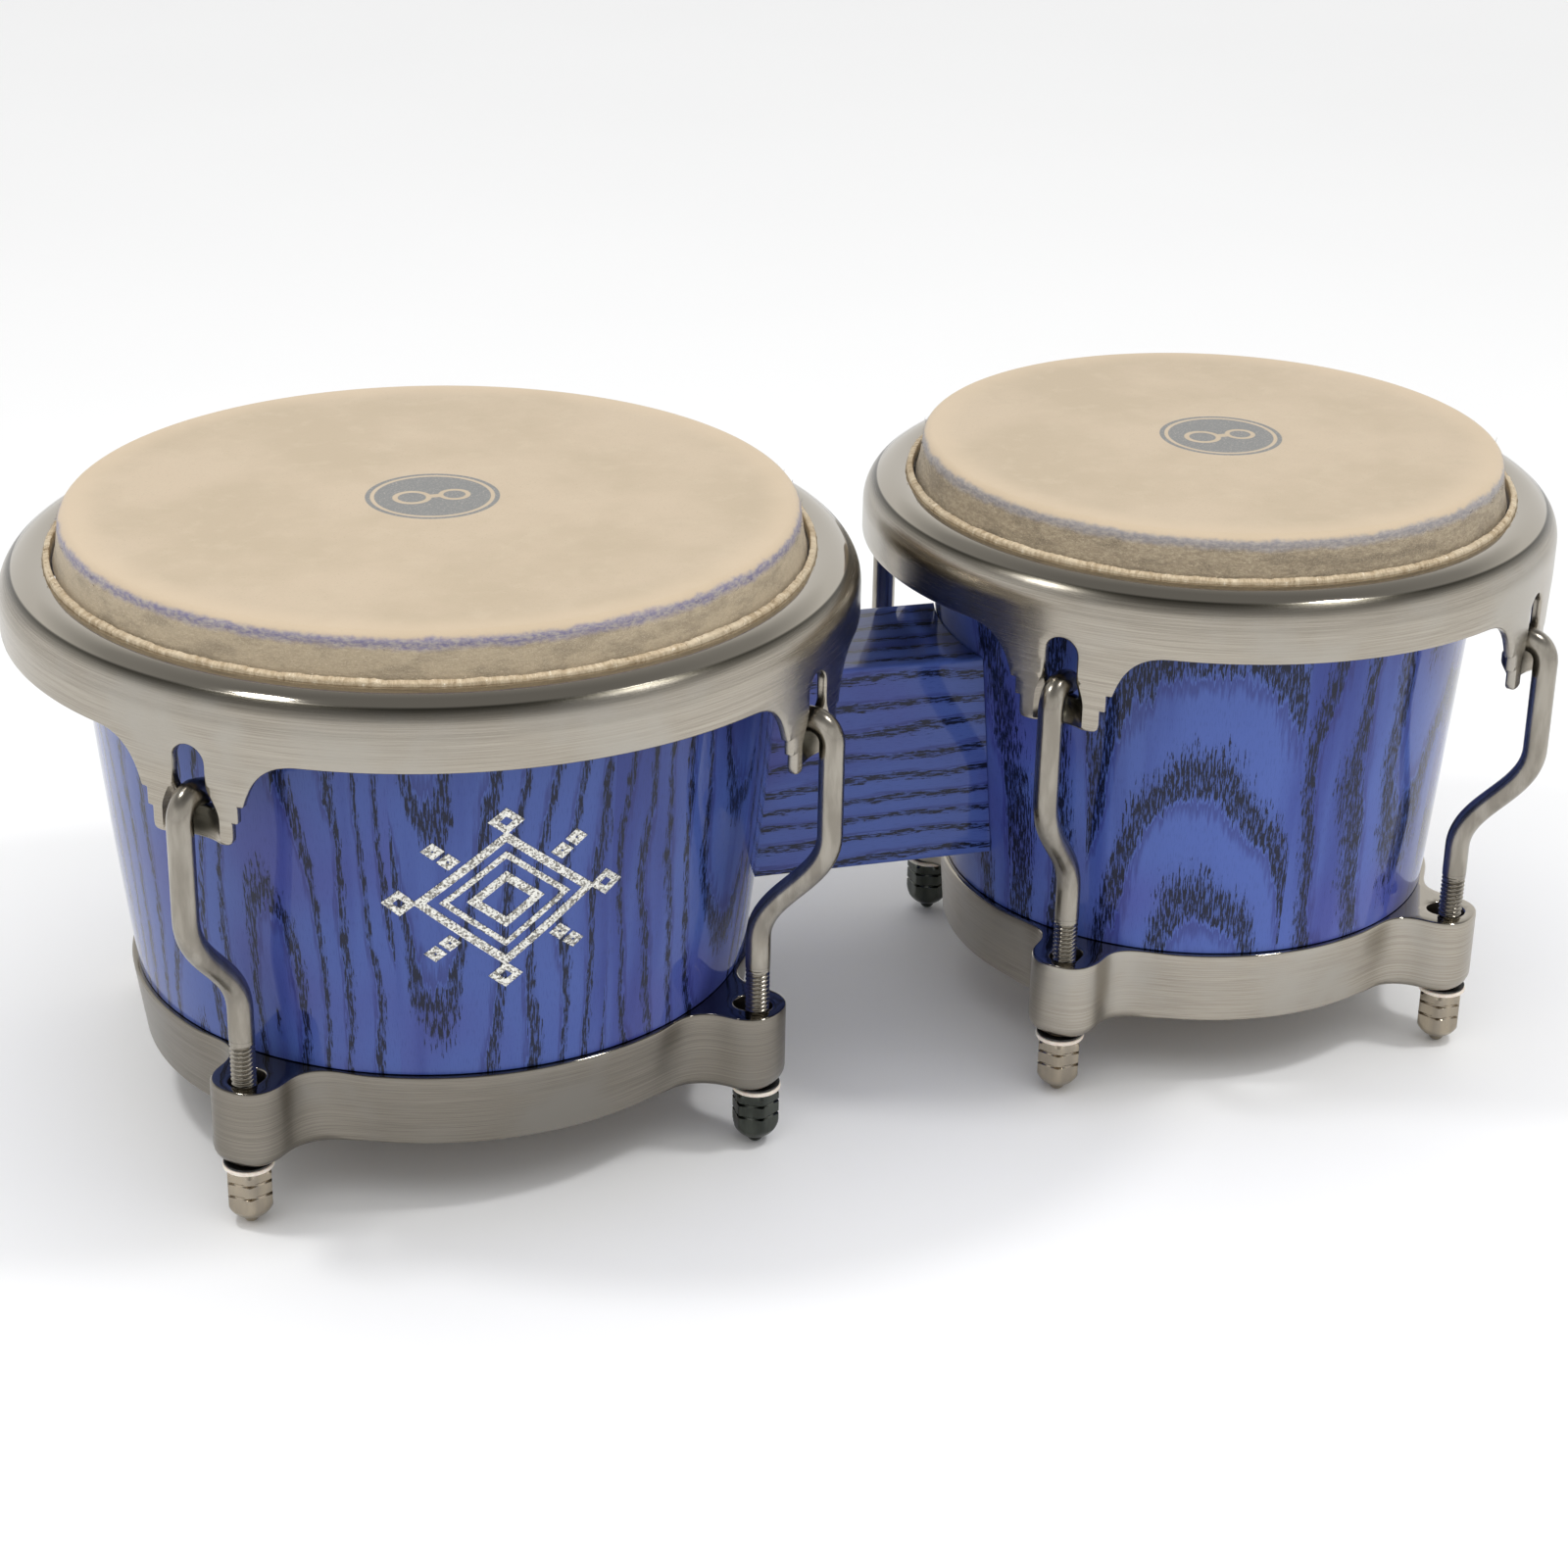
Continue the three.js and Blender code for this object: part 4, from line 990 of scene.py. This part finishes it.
def block_shape():
    """The wooden block between the shells: eased edges, ends hollowed to the two tapers."""
    half, low, high, edge = BLOCK["half"], BLOCK["bottom"], BLOCK["top"], BLOCK["edge"]
    corners = [(-half, low, edge), (half, low, edge), (half, high, edge), (-half, high, edge)]
    section = fillet(corners, 6)
    section = resample(np.vstack([section, section[:1]]), 3.0)[:-1]
    middle = np.array([0, (low + high) / 2])

    def reach(p, drum, side):
        radius = drum.shell(p[..., 1]) + GAP
        return drum.x + side * np.sqrt(radius ** 2 - p[..., 0] ** 2)

    def cap(drum, side):
        rings = [middle + (section - middle) * t for t in np.linspace(0, 1, 12)]
        return np.stack([np.column_stack([reach(p, drum, side), p]) for p in rings])

    start, end = reach(section, LARGE, 1), reach(section, SMALL, -1)
    rows = [np.column_stack([start + (end - start) * t, section]) for t in np.linspace(0, 1, 40)]
    shape = Shape()
    shape.grid(np.stack(rows), wrap=True)
    shape.grid(cap(LARGE, 1), wrap=True)
    shape.grid(cap(SMALL, -1), wrap=True)
    return shape


def emblem_shape(drum):
    """Nested lozenges of glitter on the front of the large shell, with a small one at each point."""
    wide, tall, line, relief = EMBLEM["half_width"], EMBLEM["half_height"], EMBLEM["line"], EMBLEM["relief"]
    section = ((1, -0.2), (1, 0.5), (0.75, 1), (0, 1.15), (-0.75, 1), (-1, 0.5), (-1, -0.2), (1, -0.2))
    shape = Shape()

    def lozenge(u, z, half_width, half_height, width):
        corners = np.array([[1, 0], [0, 1], [-1, 0], [0, -1], [1, 0]]) * [half_width, half_height]
        path = resample(corners, 1.5)[:-1]
        slant = math.hypot(half_width, half_height) / (half_width + half_height) * 2 / math.sqrt(2)
        rows = []
        for across, height in section:
            scale = 1 + across * width * slant / min(half_width, half_height)
            rows.append(lift(path * max(scale, 0.0) + [u, z], height * relief))
        shape.grid(np.stack(rows), wrap=True)

    def lift(p, height):
        top = EMBLEM["height"] + p[:, 1]
        r = drum.shell(top) + height
        a = -math.pi / 2 + p[:, 0] / drum.shell(EMBLEM["height"])
        return np.column_stack([r * np.cos(a), r * np.sin(a), top])

    for size, width in ((0.70, line), (0.50, line * 0.7), (0.26, line)):
        lozenge(0, 0, wide * size, tall * size, width)
    for u, z in ((0.86, 0), (-0.86, 0), (0, 0.87), (0, -0.87)):
        lozenge(u * wide, z * tall, wide * 0.10, tall * 0.10, line * 0.8)
    for u, z in ((1, 1), (1, -1), (-1, 1), (-1, -1)):
        for step in (0.46, 0.58):
            lozenge(u * wide * step, z * tall * step, wide * 0.055, tall * 0.055, line * 0.7)
    return shape


# ---------- assembly ----------
RIMS = {drum.name: nickel(f"{drum.name}_brushed_nickel", 1.0, 0.17, ROLL_POLISH, drum.rim)
        for drum in (LARGE, SMALL)}
# Both rings are the same nickel; the large drum's ring has its colour darkened to 0.60 as painted shade.
RINGS = {"large": nickel("brushed_nickel_ring", 0.60, 0.24),
         "small": nickel("pale_brushed_nickel_ring", 1.0, 0.24)}
ROD_FINISH = rod_steel("plated_rod", rgb(0.375, 0.348, 0.300), rgb(0.265, 0.242, 0.205), 0.16)
NUT_FINISH = rod_steel("warm_plated_nut", rgb(0.43, 0.37, 0.285), rgb(0.33, 0.29, 0.235), 0.14, 0.15)
# Painted shade: a near-black copy of the plated nut finish, given to two nuts in place of the shadow they
# reflect.
PAINTED_SHADE_NUT = rod_steel("dark_plated_nut", rgb(0.085, 0.092, 0.080), rgb(0.050, 0.055, 0.048), 0.14, 0.15)
NUTS_IN_PAINTED_SHADE = ("large_nut_front_right", "small_nut_rear_left")
STEEL = rod_steel("dark_steel", rgb(0.08, 0.08, 0.08), rgb(0.04, 0.04, 0.04), 0.35)
ZINC = rod_steel("zinc_steel", rgb(0.50, 0.51, 0.52), rgb(0.36, 0.36, 0.38), 0.3)
BRASS = rod_steel("insert_brass", rgb(0.72, 0.50, 0.18), rgb(0.50, 0.33, 0.12), 0.28)
HIDE_EDGE = cut_edge()
NYLON = nylon()

for number, drum in enumerate((LARGE, SMALL)):
    name = drum.name
    piece(f"{name}_shell_fine", shell_shape(drum), shell_wood(drum), "root", "blue_ash", f"{name}_shell",
          at=drum.x)
    skin = piece(f"{name}_skin_fine", skin_shape(drum, 40 + number), rawhide(drum), None, "rawhide",
                 f"{name}_head_skin", at=drum.x)
    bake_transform(skin)
    piece(f"{name}_hoop_fine", hoop_shape(drum, 60 + number), HIDE_EDGE, f"{name}_rim_set", "hoop_skin",
          f"{name}_flesh_hoop", at=drum.x)
    piece(f"{name}_rim_fine", rim_shape(drum), RIMS[name], f"{name}_rim_set", "rim_nickel", f"{name}_rim",
          at=drum.x)
    piece(f"{name}_ring_fine", bottom_ring_shape(drum), RINGS[name], "root", "ring_nickel",
          f"{name}_bottom_ring", at=drum.x)
    for spin, (lug, angle) in zip(NUT_TURN[name], drum.lugs.items()):
        piece(f"{name}_hook_fine_{lug}", hook_shape(drum, angle), ROD_FINISH, f"{name}_rim_set",
              "hook_nickel", f"{name}_hook_{lug}", at=drum.x, sharp=60)
        nut = f"{name}_nut_{lug}"
        piece(f"{name}_nut_fine_{lug}", nut_shape(drum, angle, math.radians(spin)),
              PAINTED_SHADE_NUT if nut in NUTS_IN_PAINTED_SHADE else NUT_FINISH, nut, "nut_nickel", nut, at=drum.x, sharp=24)
        for kind, material, slot, edge in (("nylon_washer", NYLON, "nylon", 0.5),
                                           ("steel_washer", STEEL, "dark_steel", 0.3)):
            node = f"{name}_{kind}_{lug}"
            piece(f"{name}_{kind}_fine_{lug}", washer_shape(drum, angle, node, edge), material, "root", slot,
                  node, at=drum.x)
    for part, material in (("backing_plate", ZINC), ("block_bolt_lower", ZINC), ("block_bolt_upper", ZINC),
                           ("block_insert_lower", BRASS), ("block_insert_upper", BRASS)):
        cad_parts[f"{name}_{part}"].data.materials[0] = material

piece("centre_block_fine", block_shape(), block_wood(), "root", "blue_ash", "centre_block")
piece("front_emblem", emblem_shape(LARGE), glitter(), "root", "rim_nickel", at=LARGE.x, sharp=50)


# ---------- stage, light and camera ----------
def studio():
    """A pale floor, a room that is bright around and dimmer overhead, two lamps, soft light from above."""
    scene = bpy.context.scene
    floor = bpy.data.objects.new("floor", bpy.data.meshes.new("floor"))
    size = 9.0
    corners = [(-size, -size, 0), (size, -size, 0), (size, size, 0), (-size, size, 0)]
    floor.data.from_pydata(corners, [], [(0, 1, 2, 3)])
    s = Shader("pale_floor")
    plain = s.node("TexCoord").outputs["Object"]
    tone = s.mix(s.noise(plain, 3.0, 2.0), rgb(0.90, 0.90, 0.90), rgb(0.93, 0.93, 0.93))
    floor.data.materials.append(s.finish(Base_Color=tone, Roughness=0.7))
    scene.collection.objects.link(floor)

    world = bpy.data.worlds.new("studio")
    scene.world = world
    world.use_nodes = True
    tree = world.node_tree
    way = tree.nodes.new("ShaderNodeTexCoord").outputs["Generated"]
    split = tree.nodes.new("ShaderNodeSeparateXYZ")
    tree.links.new(way, split.inputs[0])
    ramp = tree.nodes.new("ShaderNodeValToRGB")
    tree.links.new(split.outputs[2], ramp.inputs[0])
    bands = ((0.0, 1.0), (0.42, 0.95), (0.66, 0.42), (0.92, 0.26))
    for position, level in bands[2:]:
        ramp.color_ramp.elements.new(position)
    for element, (position, level) in zip(ramp.color_ramp.elements, bands):
        element.position = position
        element.color = (level, level, level, 1)
    tree.links.new(ramp.outputs[0], tree.nodes["Background"].inputs[0])

    def lamp(title, kind, **settings):
        made = bpy.data.lights.new(title, kind)
        for key, value in settings.items():
            setattr(made, key, value)
        holder = bpy.data.objects.new(title, made)
        scene.collection.objects.link(holder)
        return holder

    for title, place, width, power in (("left_lamp", (-0.50, 0.01, 0.95), 0.13, 2.2),
                                       ("right_lamp", (0.52, -0.30, 1.12), 0.16, 3.4)):
        holder = lamp(title, "AREA", shape="DISK", size=width, energy=power)
        holder.location = place
        holder.rotation_euler = (Vector((0, 0, 0.1)) - holder.location).to_track_quat("-Z", "Y").to_euler()
    overhead = lamp("overhead", "SUN", energy=1.35, angle=math.radians(75))
    overhead.rotation_euler = (math.radians(8), 0, 0)
    overhead.visible_glossy = False
    scene.view_settings.view_transform = "Standard"


def camera():
    """The camera, from its aim, its distance in millimetres and its angles."""
    target, distance = Vector((-4.95, 0.0, 84.46)) * MM, 1062.1
    turn, rise, roll = math.radians(-16.41), math.radians(24.52), math.radians(1.15)
    away = Vector((math.sin(turn) * math.cos(rise), -math.cos(turn) * math.cos(rise), math.sin(rise)))
    lens = bpy.data.cameras.new("camera")
    lens.lens = 76.45
    lens.sensor_width = 36.0
    lens.clip_start = 0.05
    holder = bpy.data.objects.new("camera", lens)
    right = (-away).cross(Vector((0, 0, 1))).normalized()
    up = right.cross(-away)
    across = right * math.cos(roll) + up * math.sin(roll)
    over = up * math.cos(roll) - right * math.sin(roll)
    basis = Matrix((across, over, away)).transposed().to_4x4()
    holder.matrix_world = Matrix.Translation(target + away * distance * MM) @ basis
    bpy.context.scene.collection.objects.link(holder)
    bpy.context.scene.camera = holder


studio()
camera()
